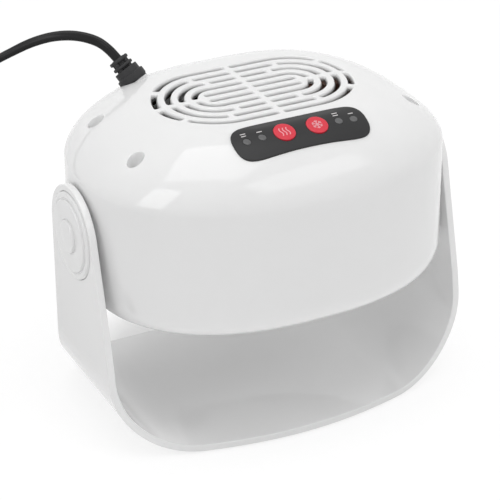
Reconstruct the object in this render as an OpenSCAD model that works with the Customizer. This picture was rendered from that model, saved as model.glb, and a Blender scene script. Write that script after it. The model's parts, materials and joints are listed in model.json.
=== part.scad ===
// Nail polish fan dryer: a fan and heater head that tilts between the arms of a one-piece stand.
// Millimetres. X runs along the tilt axis, -Y is the side where the hand goes in, +Z is up.
// The origin is on the table, below the middle of the tilt axis.

/* [Stand] */
// Width over the outer faces of the arms
stand_w = 185; // [175:1:200]
// Wall of the floor and the arms
stand_wall = 3.4; // [2.8:0.1:4.2]
// Outer radius of the bends between floor and arms
corner_r = 41; // [34:1:46]
// Height of the tilt axis above the stand's underside
pivot_h = 98.5; // [92:0.5:110]
// Radius of the round top of each arm
arm_r = 23.3; // [22:0.1:26]
// Distance from the tilt axis to the middle of the floor's front edge
floor_front = 57.9; // [54:0.1:64]
// How far the floor's front edge falls back 60 mm out from the middle
floor_bow = 9.9; // [6:0.1:12]
// Distance from the tilt axis to the floor's rear edge
floor_rear = 54.5; // [50:0.5:60]
// How far the rear edge of the bend reaches out towards the floor
rear_sweep = 35; // [32:1:40]

/* [Feet] */
// Radius of a rubber foot
foot_r = 5; // [4:0.5:7]
// How far a foot stands out below the floor
foot_out = 1; // [0.6:0.1:2]
// Depth of a foot's pocket in the floor
foot_pocket = 1; // [0.6:0.1:1.4]
// Distance of the feet in from where the floor bends up
foot_in = 7.5; // [6:0.5:12]
// Distance of the feet from the tilt axis along Y
foot_y = 38; // [30:1:42]

/* [Hub] */
// Radius of the hub cap on each arm
cap_r = 20.4; // [19:0.1:21]
// Depth of the recess that the cap sits in
cap_recess = 1.4; // [1:0.1:1.6]
// Radius of the cap's second step
cap_step_r = 17.1; // [15:0.1:18]
// Radius of the cap's middle disc
cap_disc_r = 8; // [7.6:0.1:9]
// How far the middle disc stands out of the arm
cap_out = 2.8; // [2.6:0.1:4]
// Radius of the pivot screw's shoulder
shoulder_r = 4; // [3.5:0.1:4.5]
// Outer radius of the nylon pivot bush
bush_r = 6; // [5.6:0.1:7]
// Radius of the bush's flange
flange_r = 9; // [8:0.1:9.4]
// Radius of the pivot screw's head
pivot_head_r = 6.6; // [6:0.1:7]
// Thickness of the pivot screw's head
pivot_head_h = 1.5; // [1.2:0.1:1.6]
// Tilt of the head each way before the flange stops it
tilt_stop = 30; // [20:1:40]

/* [Head shell] */
// Gap between the head and each arm
side_gap = 1.1; // [0.9:0.1:1.5]
// Depth of the head where its shoulder starts
head_d = 137; // [130:1:142]
// How far the head hangs below the tilt axis
head_drop = 34; // [30:0.5:38]
// Height of the head's top above the tilt axis
head_rise = 52.4; // [50:0.2:56]
// Height above the tilt axis where the shoulder starts to curve in
shoulder_rise = 26.5; // [22:0.5:28]
// Width of the head's flat top
top_w = 84; // [76:1:90]
// Depth of the head's flat top
top_d = 78.6; // [74:0.2:84]
// Wall of the shell
shell_wall = 2.6; // [2.2:0.1:3]
// Inset of the shell's bottom edge, from its rounding
bottom_round = 6; // [4:0.5:7]
// Thickness of the bottom cover's plate
cover_t = 1.6; // [1.4:0.1:2.4]

/* [Top grille] */
// Distance between the middles of neighbouring slots
slot_pitch = 6.16; // [5.6:0.02:6.4]
// Width of a slot
slot_w = 3.1; // [2.6:0.1:3.4]
// Distance from the grille's middle to the middle of its end arcs
arc_x = 19.4; // [17:0.1:21]
// Distance of the grille's middle behind the tilt axis
grille_y = 1.6; // [0:0.2:3]
// Width of the bridges across the slots
bridge_w = 3; // [2:0.1:4]

/* [Controls] */
// Length of the dark control panel
panel_w = 66; // [60:1:70]
// Distance of the panel's rear edge in front of the tilt axis
panel_rear = 34.4; // [33.6:0.2:36]
// Distance of the panel's front corners in front of the tilt axis
panel_front = 52.4; // [50:0.2:54]
// How far the panel's front edge arches back in the middle
panel_arch = 1.6; // [0:0.2:3]
// Thickness of the panel
panel_t = 0.6; // [0.4:0.1:1]
// Distance of the button line in front of the tilt axis
button_y = 44.3; // [43:0.1:46]
// Distance of each button from the middle
button_x = 8.1; // [7.4:0.1:9]
// Radius of a button
button_r = 5.8; // [5:0.1:6.2]
// How far a button stands out of the panel
button_out = 1.2; // [0.8:0.1:2]
// Travel of a button
button_travel = 0.6; // [0.4:0.1:0.8]
// Distances of the indicator lights from the middle
light_x = [19, 26.5];
// Radius of an indicator light
light_r = 2.1; // [1.6:0.1:2.4]

/* [Screws] */
// Distance of the shell screws in from the head's sides
screw_in = 18.3; // [17:0.1:20]
// Distance of the shell screws from the tilt axis along Y
screw_y = 22.2; // [19:0.1:24]
// Radius of a shell screw's recess in the shoulder
recess_r = 4.3; // [3.8:0.1:4.8]
// Radius of a shell screw's shank
screw_r = 1.6; // [1.4:0.1:1.8]
// Height of the recess's floor above the tilt axis
recess_rise = 33.5; // [31:0.5:35]

/* [Fan] */
// Inner radius of the fan duct
duct_r = 44; // [42:0.5:45]
// Wall of the duct
duct_wall = 1.8; // [1.4:0.1:2.2]
// Height above the tilt axis of the seam between cover duct and fan frame
fan_seam = 12; // [10:0.5:14]
// Height of the fan frame's ring
fan_h = 22; // [20:0.5:24]
// Radius of the impeller over its blades
impeller_r = 41.5; // [38:0.5:42]
// Radius of the impeller's hub
hub_r = 13; // [11:0.5:15]
// Number of blades
blades = 7; // [5:1:9]
// Radius of the motor can
motor_r = 14; // [12:0.5:16]
// Height of the motor can
motor_h = 17; // [14:0.5:18]
// Radius of the motor shaft
shaft_r = 1.5; // [1.2:0.1:2]

/* [Heater] */
// Height above the tilt axis of the heater's lower edge
heater_rise = -16; // [-18:0.5:-14]
// Height of the mica plates
mica_h = 22; // [20:0.5:24]
// Thickness of the mica plates
mica_t = 1; // [0.8:0.1:1.4]
// Radius of the heating wire's coil
heater_r = 31; // [28:0.5:34]
// Turns of the heating wire
heater_turns = 6; // [4:1:8]
// Thickness of the heating wire
wire_d = 1.2; // [1:0.1:1.6]

/* [Cord] */
// Width of the flat cord
cord_w = 4.8; // [4.4:0.1:5.2]
// Thickness of the flat cord
cord_t = 3.2; // [3:0.1:3.6]
// Distance of the strain relief from the middle along X
boot_x = 40.5; // [38:0.5:44]
// Distance of the strain relief behind the tilt axis
boot_y = 44.6; // [42:0.2:46]
// Radius of the strain relief's flange
boot_flange_r = 7; // [6:0.1:8]
// Length of the strain relief outside the shell
boot_len = 12.6; // [11:0.1:15]
// Radius of the coil's outermost turn
coil_r = 36; // [34:0.5:40]
// Distance between neighbouring turns
turn_pitch = 5.5; // [5.4:0.1:6]
// Distance between the coil's two layers
layer_pitch = 3.8; // [3.7:0.1:4.4]
// Turns in the put-away coil
coil_turns = 6.5; // [4.5:1:6.5]

/* [Hidden] */
$fn = 64;
clear = 0.3;            // gap between pieces that move past each other
run_clear = 0.06;       // radial clearance of a running fit
seat_gap = 0.05;        // gap between rigid pieces that are screwed or glued together
deep = 400;             // longer than the object, for cuts that run right through

pivot_z = foot_out + pivot_h;
arm_in = stand_w/2 - stand_wall;      // inner face of an arm
foot_x = stand_w/2 - corner_r - foot_in;
head_a = arm_in - side_gap;
head_b = head_d/2;
top_a = top_w/2;
top_b = top_d/2;
wall_draft = 0.03;                    // the head's wall leans out going down
side_power = 2.39;                    // squareness of the head's plan
top_power = 3.0;                      // squareness of its flat top
shoulder_power = 1.5;                 // fullness of the shoulder
around = 72;                          // corners in each ring of the head's form
base_z = pivot_z - head_drop;
shoulder_z = pivot_z + shoulder_rise;
top_z = pivot_z + head_rise;

white = [0.93, 0.93, 0.92];
panel_grey = [0.2, 0.2, 0.21];
cord_black = [0.1, 0.1, 0.1];
board_brown = [0.42, 0.28, 0.2];
steel = [0.7, 0.7, 0.72];

// ---- Shared shapes ----

function flat(lists) = [for (l = lists) for (p = l) p];
function unit(v) = v/norm(v);
function mix(a, b, t) = a + (b - a)*t;
function smooth(t) = let (c = min(max(t, 0), 1)) c*c*(3 - 2*c);

module both_sides() {
    children();
    mirror([1, 0, 0]) children();
}

// A tube, or with in_r = 0 a rod, standing on z = 0
module ring(out_r, in_r, h) {
    difference() {
        cylinder(r = out_r, h = h);
        if (in_r > 0) translate([0, 0, -1]) cylinder(r = in_r, h = h + 2);
    }
}

// Turns the children's Z to +X, on the tilt axis, with z measured from the middle of the object
module on_axis() {
    translate([0, 0, pivot_z]) rotate([0, 90, 0]) children();
}

// Faces of a skin over rings of n corners: the band between two rings, and the lids on its first and last ring
function band(j, next, n) = [for (k = [0:n - 1])
    let (a = j*n + k, b = j*n + (k + 1)%n, c = next*n + (k + 1)%n, d = next*n + k)
    each [[a, c, b], [a, d, c]]];
function cap(j, n) = [for (k = [0:n - 1]) j*n + k];
function cap_back(j, n) = [for (k = [n - 1:-1:0]) j*n + k];

// A closed skin through rings of points that turn anticlockwise, seen from the last ring
module skin(rings) {
    n = len(rings[0]);
    last = len(rings) - 1;
    polyhedron(
        points = flat(rings),
        faces = concat([cap(0, n)], [for (j = [0:last - 1]) each band(j, j + 1, n)], [cap_back(last, n)]),
        convexity = 6
    );
}

// ---- Form of the head ----

function signed_power(v, e) = sign(v)*pow(abs(v), e);
function plan_point(a, b, n, angle) =
    [a*signed_power(cos(angle), 2/n), b*signed_power(sin(angle), 2/n)];
function plan_ring(a, b, n, z) =
    [for (k = [0:around - 1]) let (p = plan_point(a, b, n, 360*k/around)) [p[0], p[1], z]];

// Half width, half depth and squareness of the head at a share h of the shoulder's height
function shoulder_share(h) = pow(max(0, 1 - pow(h, shoulder_power)), 1/shoulder_power);
function shoulder_size(h) = let (k = shoulder_share(h))
    [mix(top_a, head_a, k), mix(top_b, head_b, k), mix(side_power, top_power, h)];
function wall_b(z) = head_b + wall_draft*(shoulder_z - z);

// Whether a point lies in the head's plan at height z, below 1 inside
function plan_reach(x, y, z) =
    let (s = z <= shoulder_z ? [head_a, wall_b(z), side_power]
                             : shoulder_size(min(1, (z - shoulder_z)/(top_z - shoulder_z))))
    pow(abs(x)/s[0], s[2]) + pow(abs(y)/s[1], s[2]);
// Height of the shoulder above a point, by halving
function head_z(x, y, lo = shoulder_z, hi = top_z, n = 24) =
    n == 0 ? (lo + hi)/2
           : let (m = (lo + hi)/2) plan_reach(x, y, m) < 1 ? head_z(x, y, m, hi, n - 1) : head_z(x, y, lo, m, n - 1);

outer_steps = 11;
function shoulder_rings(inset, steps, first = 0) = [
    for (j = [first:steps])
        let (f = 90*j/steps, h = pow(sin(f), 2/shoulder_power), s = shoulder_size(h))
        plan_ring(s[0] - inset, s[1] - inset, s[2], mix(shoulder_z, top_z, h) - inset*smooth(h))
];
function wall_ring(inset, z) = plan_ring(head_a - inset, wall_b(z) - inset, side_power, z);

// Solid outer form, drawn in all round by inset
module head_form(inset = 0) {
    skin(concat([wall_ring(inset + bottom_round, base_z - 1)], shoulder_rings(inset, outer_steps)));
}

rebate = bottom_round + 1.4;          // inset of the rebate that the bottom cover sits in
ledge = rebate + 2;                   // inset of the ledge that the cover bears on
ledge_z = base_z + cover_t;
ledge_top = ledge_z + 2;

// The shell as one skin: up the outside, over the top, and down the inside to the rebate
module head_skin() {
    bottom = [for (f = [0, 30, 60]) wall_ring(bottom_round*(1 - sin(f)), base_z + bottom_round*(1 - cos(f)))];
    inside = [for (j = [outer_steps:-1:0])
        let (f = 90*j/outer_steps, h = pow(sin(f), 2/shoulder_power), s = shoulder_size(h))
        plan_ring(s[0] - shell_wall, s[1] - shell_wall, s[2], mix(shoulder_z, top_z - shell_wall, h))];
    lip = [
        wall_ring(shell_wall, ledge_top + ledge - shell_wall),
        wall_ring(ledge, ledge_top),
        wall_ring(ledge, ledge_z),
        wall_ring(rebate, ledge_z),
        wall_ring(rebate, base_z)
    ];
    rings = concat(bottom, [wall_ring(0, base_z + bottom_round)], shoulder_rings(0, outer_steps), inside, lip);
    turns = len(rings);
    flat_top = 4 + outer_steps;       // ring at the edge of the flat top, followed by the one below it
    sides = [for (j = [0:turns - 1]) if (j != flat_top) each band(j, (j + 1)%turns, around)];
    polyhedron(
        points = flat(rings),
        faces = concat(sides, [cap_back(flat_top, around), cap(flat_top + 1, around)]),
        convexity = 8
    );
}

// ---- Control line on the front shoulder ----

function slope_at(x, y) = let (e = 0.5) (head_z(x, y + e) - head_z(x, y - e))/(2*e);
panel_tilt = atan(slope_at(0, -button_y));
panel_z = head_z(button_x, -button_y);
// Puts the children on the shoulder at x, with +Z straight out of it along the buttons' line
module on_panel(x) {
    translate([x, -button_y, panel_z]) rotate([panel_tilt, 0, 0]) children();
}

button_bore = button_r + clear;
button_flange = button_r + 1.2;
flange_top = -shell_wall - 0.7;       // the button's flange hangs below the shell
flange_t = 1.2;
stem_end = flange_top - flange_t - 1.2;
plunger_r = 1.6;
plunger_t = 1.6;
switch_top = stem_end - button_travel - clear;
switch_h = 3.6;
board_top = switch_top - switch_h;
board_t = 1.6;
board_l = 62;
board_w = 15;
board_screw_r = 1;
module board_places() {
    for (sx = [-1, 1], sy = [-1, 1]) on_panel(sx*(light_x[0] + light_x[1])/2)
        translate([0, sy*4, board_top]) children();
}

// ---- Cord ----

boot_at = [-boot_x, boot_y, head_z(-boot_x, boot_y)];    // where the strain relief's axis meets the shoulder
boot_dir = unit([-0.42, 0.52, 0.745]);
boot_sink = 0.9;                      // how far the flange is let into its seat
module on_boot() {
    translate(boot_at)
        rotate([0, acos(boot_dir[2]), atan2(boot_dir[1], boot_dir[0])]) children();
}

// Route of the cord's free stretch, from the strain relief down to the coil
cord_start = boot_at + boot_dir*boot_len;
route = concat([cord_start], [
    [-48.5, 54.5, 161], [-52, 58.5, 164], [-57.5, 62.5, 166], [-64, 66.5, 167], [-71.5, 70, 166.5],
    [-80, 73, 164], [-89, 75, 160], [-98, 77, 155.5], [-107, 78.5, 149.5], [-115.5, 79.5, 142],
    [-123, 80, 133], [-129, 80.5, 123], [-134.5, 80.5, 112], [-139.5, 80, 100.5], [-144.5, 79, 89],
    [-150, 77.5, 77.5], [-156, 75, 66], [-163, 71.5, 55], [-171, 67, 45], [-180, 61, 35.5],
    [-189, 53.5, 26.5], [-198, 44.5, 18], [-205.5, 34.5, 11], [-211.5, 24.5, 6], [-215, 16, 3]
]);
coil_at = [-180, 4];
cord_lie = 0.8;                       // the tie's band lies under the coil

function spline(a, b, c, d, t) = 0.5*((2*b) + (c - a)*t + (2*a - 5*b + 4*c - d)*t*t + (3*b - a - 3*c + d)*t*t*t);
function spline_path(p, steps) = let (n = len(p) - 1) concat(
    [for (i = [0:n - 1]) for (s = [0:steps - 1])
        spline(p[max(i - 1, 0)], p[i], p[i + 1], p[min(i + 2, n)], s/steps)], [p[n]]);

// Rings of an oval section along a path; twist(i) turns the section's wide side up from level
function tangent(p, i) = unit(p[min(i + 1, len(p) - 1)] - p[max(i - 1, 0)]);
function cord_ring(at, dir, w, t, sides, twist) =
    let (side = unit(cross(dir, [0, 0, 1])), up = cross(side, dir),
         wide = side*cos(twist) + up*sin(twist), thin = cross(dir, wide))
    [for (k = [0:sides - 1]) let (f = 360*(k + 0.5)/sides) at + wide*cos(f)*w/2 + thin*sin(f)*t/2];

coil_low = cord_lie + cord_t/2;
coil_mid = coil_turns/2;
coil_start_angle = 180;
function coil_radius(t) = coil_r - turn_pitch*(t < coil_mid ? t : coil_turns - t);
function coil_point(t) = let (f = coil_start_angle + 360*t, r = coil_radius(t))
    [coil_at[0] + r*cos(f), coil_at[1] + r*sin(f), coil_low + layer_pitch*smooth((t - coil_mid)/0.5 + 0.5)];
function coil_tangent(t) = unit(coil_point(t + 0.002) - coil_point(t - 0.002));
coil_rings_per_turn = 24;
coil_end_angle = coil_start_angle + 360*coil_turns;
coil_out = [-sin(coil_end_angle), cos(coil_end_angle), 0];
coil_end = coil_point(coil_turns) + coil_out*cord_w;
coil_in = coil_point(0) - [-sin(coil_start_angle), cos(coil_start_angle), 0]*cord_w;
plug_neck = 14;                       // length of the plug's tapered neck
plug_l = 30;
plug_w = 22;
plug_t = 2*coil_end[2];               // the plug's axis lies level with the coil's upper layer
pin_l = 17;

// ---- Stand ----

// Outline of the floor's front edge, and of its rear edge, in plan
function front_edge(x) = -(floor_front - floor_bow*pow(x/60, 2) + 0.7*pow(x/60, 4));
plan_steps = 40;
module stand_plan() {
    polygon(concat(
        [for (i = [0:plan_steps]) let (x = stand_w*(i/plan_steps - 0.5)) [x, front_edge(x)]],
        [[stand_w/2, floor_rear], [-stand_w/2, floor_rear]]
    ));
}

// Side view of an arm: round top, a straight front edge down to the bend, and a rear edge that drops
// straight and then sweeps back
arm_shift = 0.7;                      // the arm's round top sits this far behind the tilt axis
arm_mid = [arm_shift, pivot_h];
bend_front = [front_edge(stand_w/2), corner_r];
front_reach = bend_front - arm_mid;
front_angle = atan2(front_reach[1], front_reach[0]) + 360 - acos(arm_r/norm(front_reach));
module stand_side() {
    rear = [for (i = [0:12]) let (z = corner_r*i/12)
        [arm_shift + arm_r + rear_sweep*pow(1 - z/corner_r, 1.8), z]];
    translate(arm_mid) circle(r = arm_r, $fn = 128);
    polygon(concat(
        [arm_mid, arm_mid + arm_r*[cos(front_angle), sin(front_angle)], bend_front],
        [[-floor_front - 10, corner_r], [-floor_front - 10, 0]],
        rear, [[arm_shift + arm_r, pivot_h]]
    ));
}

// Cross-section of the U, drawn in all round by inset
module stand_u(inset) {
    r = corner_r - inset;
    half = stand_w/2 - inset;
    tall = pivot_h + arm_r + 1 - inset;
    for (s = [-1, 1]) translate([s*(stand_w/2 - corner_r), corner_r]) circle(r = r, $fn = 128);
    translate([-half, corner_r]) square([2*half, tall + inset*2 - corner_r]);
    translate([corner_r - stand_w/2, inset]) square([stand_w - 2*corner_r, corner_r]);
}

module stand_frame() {
    color(white) difference() {
        translate([0, 0, foot_out]) intersection() {
            translate([0, deep/2, 0]) rotate([90, 0, 0]) linear_extrude(deep) difference() {
                stand_u(0);
                stand_u(stand_wall);
            }
            linear_extrude(deep) stand_plan();
            translate([-deep/2, 0, 0]) rotate([90, 0, 90]) linear_extrude(deep) stand_side();
        }
        both_sides() on_axis() {
            translate([0, 0, stand_w/2 - cap_recess]) cylinder(r = cap_r + seat_gap, h = 10);
            translate([0, 0, arm_in - 1]) cylinder(r = bush_r, h = 10);
        }
        for (sx = [-1, 1], sy = [-1, 1]) translate([sx*foot_x, sy*foot_y, 0])
            cylinder(r = foot_r, h = foot_out + foot_pocket);
    }
}

module rubber_feet() {
    color([0.15, 0.15, 0.15]) for (sx = [-1, 1], sy = [-1, 1]) translate([sx*foot_x, sy*foot_y, 0])
        cylinder(r = foot_r, h = foot_out + foot_pocket);
}

cap_seat = stand_w/2 - cap_recess;    // floor of the cap's recess
cap_top = stand_w/2 + cap_out;
cap_wall = 1.1;
module hub_cap() {
    on_axis() rotate_extrude() polygon([
        [flange_r, cap_seat], [cap_r, cap_seat], [cap_r, cap_seat + cap_recess + 0.4],
        [cap_r - 0.8, cap_seat + cap_recess + 0.8], [cap_step_r, cap_seat + cap_recess + 0.8],
        [cap_step_r, cap_seat + cap_recess + 1.3], [cap_step_r - 0.6, cap_seat + cap_recess + 1.7],
        [cap_disc_r, cap_seat + cap_recess + 1.7], [cap_disc_r, cap_top - 0.4], [cap_disc_r - 0.4, cap_top],
        [0, cap_top], [0, cap_top - cap_wall], [pivot_head_r + 0.4, cap_top - cap_wall],
        [pivot_head_r + 0.4, cap_seat + cap_recess + 0.4], [flange_r, cap_seat + cap_recess + 0.4]
    ]);
}
module hub_cap_right() { color(white) hub_cap(); }
module hub_cap_left() { color(white) mirror([1, 0, 0]) hub_cap(); }

// The bush is pressed into the arm, and its flange turns in a pocket in the head's side
pocket_floor = head_a - 1.4;
flange_in = pocket_floor + clear;
module sector(r, angle, h) {
    linear_extrude(h) polygon([[0, 0], for (i = [0:6]) r*[cos(angle*(i/3 - 1)), sin(angle*(i/3 - 1))]]);
}
stop_angle = 12;
module pivot_bush() {
    on_axis() difference() {
        union() {
            translate([0, 0, flange_in]) cylinder(r = flange_r, h = arm_in - flange_in);
            translate([0, 0, flange_in]) cylinder(r = bush_r, h = cap_seat - flange_in);
        }
        translate([0, 0, flange_in - 1]) cylinder(r = shoulder_r + run_clear, h = deep);
        difference() {
            translate([0, 0, flange_in - 1]) sector(2*flange_r, stop_angle + tilt_stop + 2, 1.7);
            translate([0, 0, flange_in - 2]) cylinder(r = bush_r + 0.6, h = 4);
        }
    }
}
module pivot_bush_right() { color([0.85, 0.85, 0.8]) pivot_bush(); }
module pivot_bush_left() { color([0.85, 0.85, 0.8]) mirror([1, 0, 0]) pivot_bush(); }

washer_t = 0.5;
washer_in = cap_seat + clear;
module pivot_washers() {
    color(steel) both_sides() on_axis() translate([0, 0, washer_in]) ring(pivot_head_r, shoulder_r, washer_t);
}

thread_r = 2.5;
thread_l = 10;
module pivot_screws() {
    color(steel) both_sides() on_axis() difference() {
        union() {
            translate([0, 0, pocket_floor - thread_l]) cylinder(r = thread_r, h = thread_l + 1);
            translate([0, 0, pocket_floor]) cylinder(r = shoulder_r, h = washer_in + washer_t - pocket_floor + 0.5);
            translate([0, 0, washer_in + washer_t]) cylinder(r = pivot_head_r, h = pivot_head_h);
        }
        translate([-3, -0.6, washer_in + washer_t + pivot_head_h - 0.8]) cube([6, 1.2, 2]);
    }
}

// ---- Head shell and bottom cover ----

recess_z = pivot_z + recess_rise;
screw_x = head_a - screw_in;
cup_floor = 3;
boss_r = 4.2;
module screw_places() {
    for (sx = [-1, 1], sy = [-1, 1]) translate([sx*screw_x, sy*screw_y, 0]) children();
}

// Stadium of a given half width about the grille's end arcs
module stadium(r) {
    for (s = [-1, 1]) translate([s*arc_x, 0]) circle(r = r);
    translate([-arc_x, -r]) square([2*arc_x, 2*r]);
}
module slot_ring(r) {
    difference() {
        stadium(r + slot_w/2);
        stadium(r - slot_w/2);
    }
}
module grille_slots() {
    wide = 200;
    difference() {
        for (i = [1:4]) slot_ring((i + 0.5)*slot_pitch);
        translate([-wide/2, -bridge_w/2]) square([wide, bridge_w]);
        translate([-bridge_w/2, -wide/2]) square([bridge_w, wide]);
        difference() {
            for (s = [-1, 1], f = [-36, 36]) translate([s*arc_x, 0]) rotate(f*s + (s > 0 ? 0 : 180))
                translate([0, -bridge_w/2]) square([50, bridge_w]);
            stadium(4*slot_pitch);
        }
        difference() {
            for (s = [-1, 1]) translate([s*3.55*slot_pitch - bridge_w/2, -wide/2]) square([bridge_w, wide]);
            difference() {
                square(wide, center = true);
                stadium(4*slot_pitch);
            }
            stadium(3*slot_pitch);
        }
        difference() {
            for (s = [-1, 1]) translate([s*2.6*slot_pitch - bridge_w/2, -wide/2]) square([bridge_w, wide]);
            difference() {
                square(wide, center = true);
                stadium(3*slot_pitch);
            }
            stadium(2*slot_pitch);
        }
    }
    difference() {
        for (s = [-1, 1]) translate([-3.75*slot_pitch, s*slot_pitch/2 - slot_w/2]) square([7.5*slot_pitch, slot_w]);
        translate([-bridge_w/2, -wide/2]) square([bridge_w, wide]);
    }
}

pivot_boss_r = flange_r + 2;
module head_shell() {
    color(white) difference() {
        union() {
            head_skin();
            intersection() {
                screw_places() translate([0, 0, recess_z - cup_floor]) cylinder(r = recess_r + 1.8, h = 30);
                head_form(1.2);
            }
            both_sides() on_axis() {
                translate([0, 0, pocket_floor - thread_l - 2]) cylinder(r = thread_r + 3, h = thread_l);
                translate([0, 0, head_a - shell_wall - 2.2]) cylinder(r = pivot_boss_r, h = 3.2);
            }
            on_boot() translate([0, 0, -boot_sink - 5]) cylinder(r = boot_flange_r + 1.4, h = 5.2);
            board_places() cylinder(r = 2.4, h = -2.4 - board_top);
        }
        translate([0, grille_y, top_z - 16]) linear_extrude(40) grille_slots();
        screw_places() {
            translate([0, 0, recess_z]) cylinder(r = recess_r, h = 40);
            translate([0, 0, recess_z - 10]) cylinder(r = screw_r + seat_gap, h = 40);
        }
        both_sides() on_axis() {
            difference() {
                translate([0, 0, pocket_floor]) cylinder(r = flange_r + 0.6, h = 10);
                translate([0, 0, pocket_floor - 1]) difference() {
                    sector(flange_r + 3, stop_angle, 1 + 0.9);
                    translate([0, 0, -1]) cylinder(r = bush_r + 0.9, h = 9);
                }
            }
            translate([0, 0, pocket_floor - thread_l]) cylinder(r = thread_r, h = thread_l + 5);
        }
        for (x = [-button_x, button_x]) on_panel(x)
            union() {
                translate([0, 0, flange_top]) cylinder(r = button_bore, h = 12);
                translate([0, 0, flange_top - 8]) cylinder(r = button_flange + clear, h = 8 + clear);
            }
        for (s = [-1, 1], x = light_x) light_place(s*x) translate([0, 0, -9]) cylinder(r = light_r, h = 14);
        board_places() translate([0, 0, -1]) cylinder(r = board_screw_r, h = 6);
        on_boot() {
            translate([0, 0, -boot_sink]) cylinder(r = boot_flange_r + 0.2, h = 20);
            translate([0, 0, -20]) cylinder(r = boot_neck_r, h = 30);
        }
    }
}

// Bottom cover: plate with the air outlet, duct, screw pillars and heater rests
outlet_pitch = 6;
outlet_w = 3;
rest_l = 3;                           // the heater stands on four rests this long
fan_boss_r = 3.4;
module outlet_slots() {
    intersection() {
        circle(r = duct_r - rest_l - 1);
        for (i = [-6:6], s = [-1, 1])
            translate([i*outlet_pitch - outlet_w/2, s > 0 ? 2 : -duct_r - 2]) square([outlet_w, duct_r]);
    }
}
seam_z = pivot_z + fan_seam;
heater_z = pivot_z + heater_rise;
rest_w = 5;
lug_r = duct_r + duct_wall + 2.2;     // the fan's screws stand on this radius
module fan_places() {
    for (f = [45:90:315]) rotate(f) translate([lug_r, 0, 0]) children();
}
module bottom_cover() {
    color(white) difference() {
        union() {
            translate([0, 0, base_z]) linear_extrude(cover_t)
                polygon([for (k = [0:around - 1]) let (z = base_z)
                    plan_point(head_a - rebate - 0.2, wall_b(z) - rebate - 0.2, side_power, 360*k/around)]);
            screw_places() translate([0, 0, base_z + 0.5]) cylinder(r = boss_r, h = recess_z - cup_floor - base_z - 0.5);
            translate([0, 0, base_z + 0.5]) linear_extrude(seam_z - base_z - 0.5) difference() {
                union() {
                    circle(r = duct_r + duct_wall);
                    fan_places() circle(r = fan_boss_r);
                }
                circle(r = duct_r);
            }
            for (f = [0:90:270]) rotate(f) translate([duct_r - rest_l, -rest_w/2, base_z + 0.5])
                cube([rest_l + duct_wall/2, rest_w, heater_z - base_z - 0.5]);
        }
        translate([0, 0, base_z - 1]) linear_extrude(cover_t + 2) outlet_slots();
        screw_places() translate([0, 0, recess_z - cup_floor - 12]) cylinder(r = screw_r, h = 20);
        fan_places() translate([0, 0, seam_z - 8]) cylinder(r = 1.2, h = 20);
    }
}

module shell_screws() {
    color(steel) screw_places() {
        difference() {
            translate([0, 0, recess_z]) cylinder(r = 3.2, h = 2.2);
            for (f = [0, 90]) translate([0, 0, recess_z + 2.2]) rotate(f) cube([3.4, 0.8, 2], center = true);
        }
        translate([0, 0, recess_z - cup_floor - 11]) cylinder(r = screw_r, h = cup_floor + 11.5);
    }
}

// ---- Controls ----

// Front and rear edge of the panel at x, meeting in rounded ends
function panel_share(x) = pow(max(0, 1 - pow(abs(2*x/panel_w), 7)), 1/2.6);
panel_mid = (panel_rear + panel_front)/2;
function panel_half(x) = max(0.4, (panel_front - panel_rear)/2*panel_share(x));
function panel_rear_y(x) = -panel_mid + panel_half(x);
function panel_front_y(x) = -panel_mid - panel_half(x) + panel_arch*(1 - pow(2*x/panel_w, 2));
glue_t = 0.15;                        // glue between the panel and the shell
panel_cols = 26;
panel_rows = 5;
function panel_x(i) = panel_w/2*sin(90*(2*i/panel_cols - 1));
function panel_grid(lift) = [for (i = [0:panel_cols]) [for (j = [0:panel_rows])
    let (x = panel_x(i), y = mix(panel_front_y(x), panel_rear_y(x), j/panel_rows)) [x, y, head_z(x, y) + lift]]];
module control_panel() {
    top = panel_grid(panel_t);
    low = panel_grid(glue_t);
    color(panel_grey) difference() {
        skin([for (i = [0:panel_cols]) concat(low[i], [for (j = [panel_rows:-1:0]) top[i][j]])]);
        for (x = [-button_x, button_x]) on_panel(x) translate([0, 0, -5]) cylinder(r = button_bore, h = 12);
        for (s = [-1, 1], x = light_x) light_place(s*x) translate([0, 0, -5]) cylinder(r = light_r, h = 12);
    }
}

// An indicator's place: on the button line, with +Z out of the shoulder there
module light_place(x) {
    translate([x, -button_y, head_z(x, -button_y)]) rotate([panel_tilt, 0, 0]) children();
}
lens_low = -shell_wall - 1.2;
module indicator_lenses() {
    color([0.5, 0.5, 0.52]) for (s = [-1, 1], x = light_x) light_place(s*x)
        translate([0, 0, lens_low]) cylinder(r = light_r - seat_gap, h = panel_t + 0.1 - lens_low);
}
module indicator_leds() {
    color([0.9, 0.9, 0.9]) for (s = [-1, 1], x = light_x) {
        drop = panel_z - head_z(x, -button_y);
        on_panel(s*x) translate([0, 0, board_top])
            cylinder(r = 1.5, h = lens_low - seat_gap - board_top - drop*cos(panel_tilt));
    }
}

module button() {
    translate([0, 0, flange_top - flange_t]) cylinder(r = button_flange, h = flange_t);
    translate([0, 0, flange_top - 0.5]) cylinder(r = button_r, h = panel_t + button_out - 0.5 - flange_top + 0.5);
    translate([0, 0, panel_t + button_out - 0.5]) rotate_extrude() polygon(concat([[0, 0]],
        [for (f = [0:15:90]) [(button_r - 1.5) + 1.5*cos(f), 0.5*sin(f)]], [[0, 0.7]]));
    translate([0, 0, stem_end]) cylinder(r = 2.2, h = flange_top - stem_end - 0.2);
}
module plunger() {
    translate([0, 0, stem_end - plunger_t]) cylinder(r = plunger_r, h = plunger_t);
}
module hot_button() { color([0.87, 0.16, 0.24]) on_panel(-button_x) button(); }
module cool_button() { color([0.87, 0.16, 0.24]) on_panel(button_x) button(); }
module hot_plunger() { color([0.2, 0.2, 0.2]) on_panel(-button_x) plunger(); }
module cool_plunger() { color([0.2, 0.2, 0.2]) on_panel(button_x) plunger(); }

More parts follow.
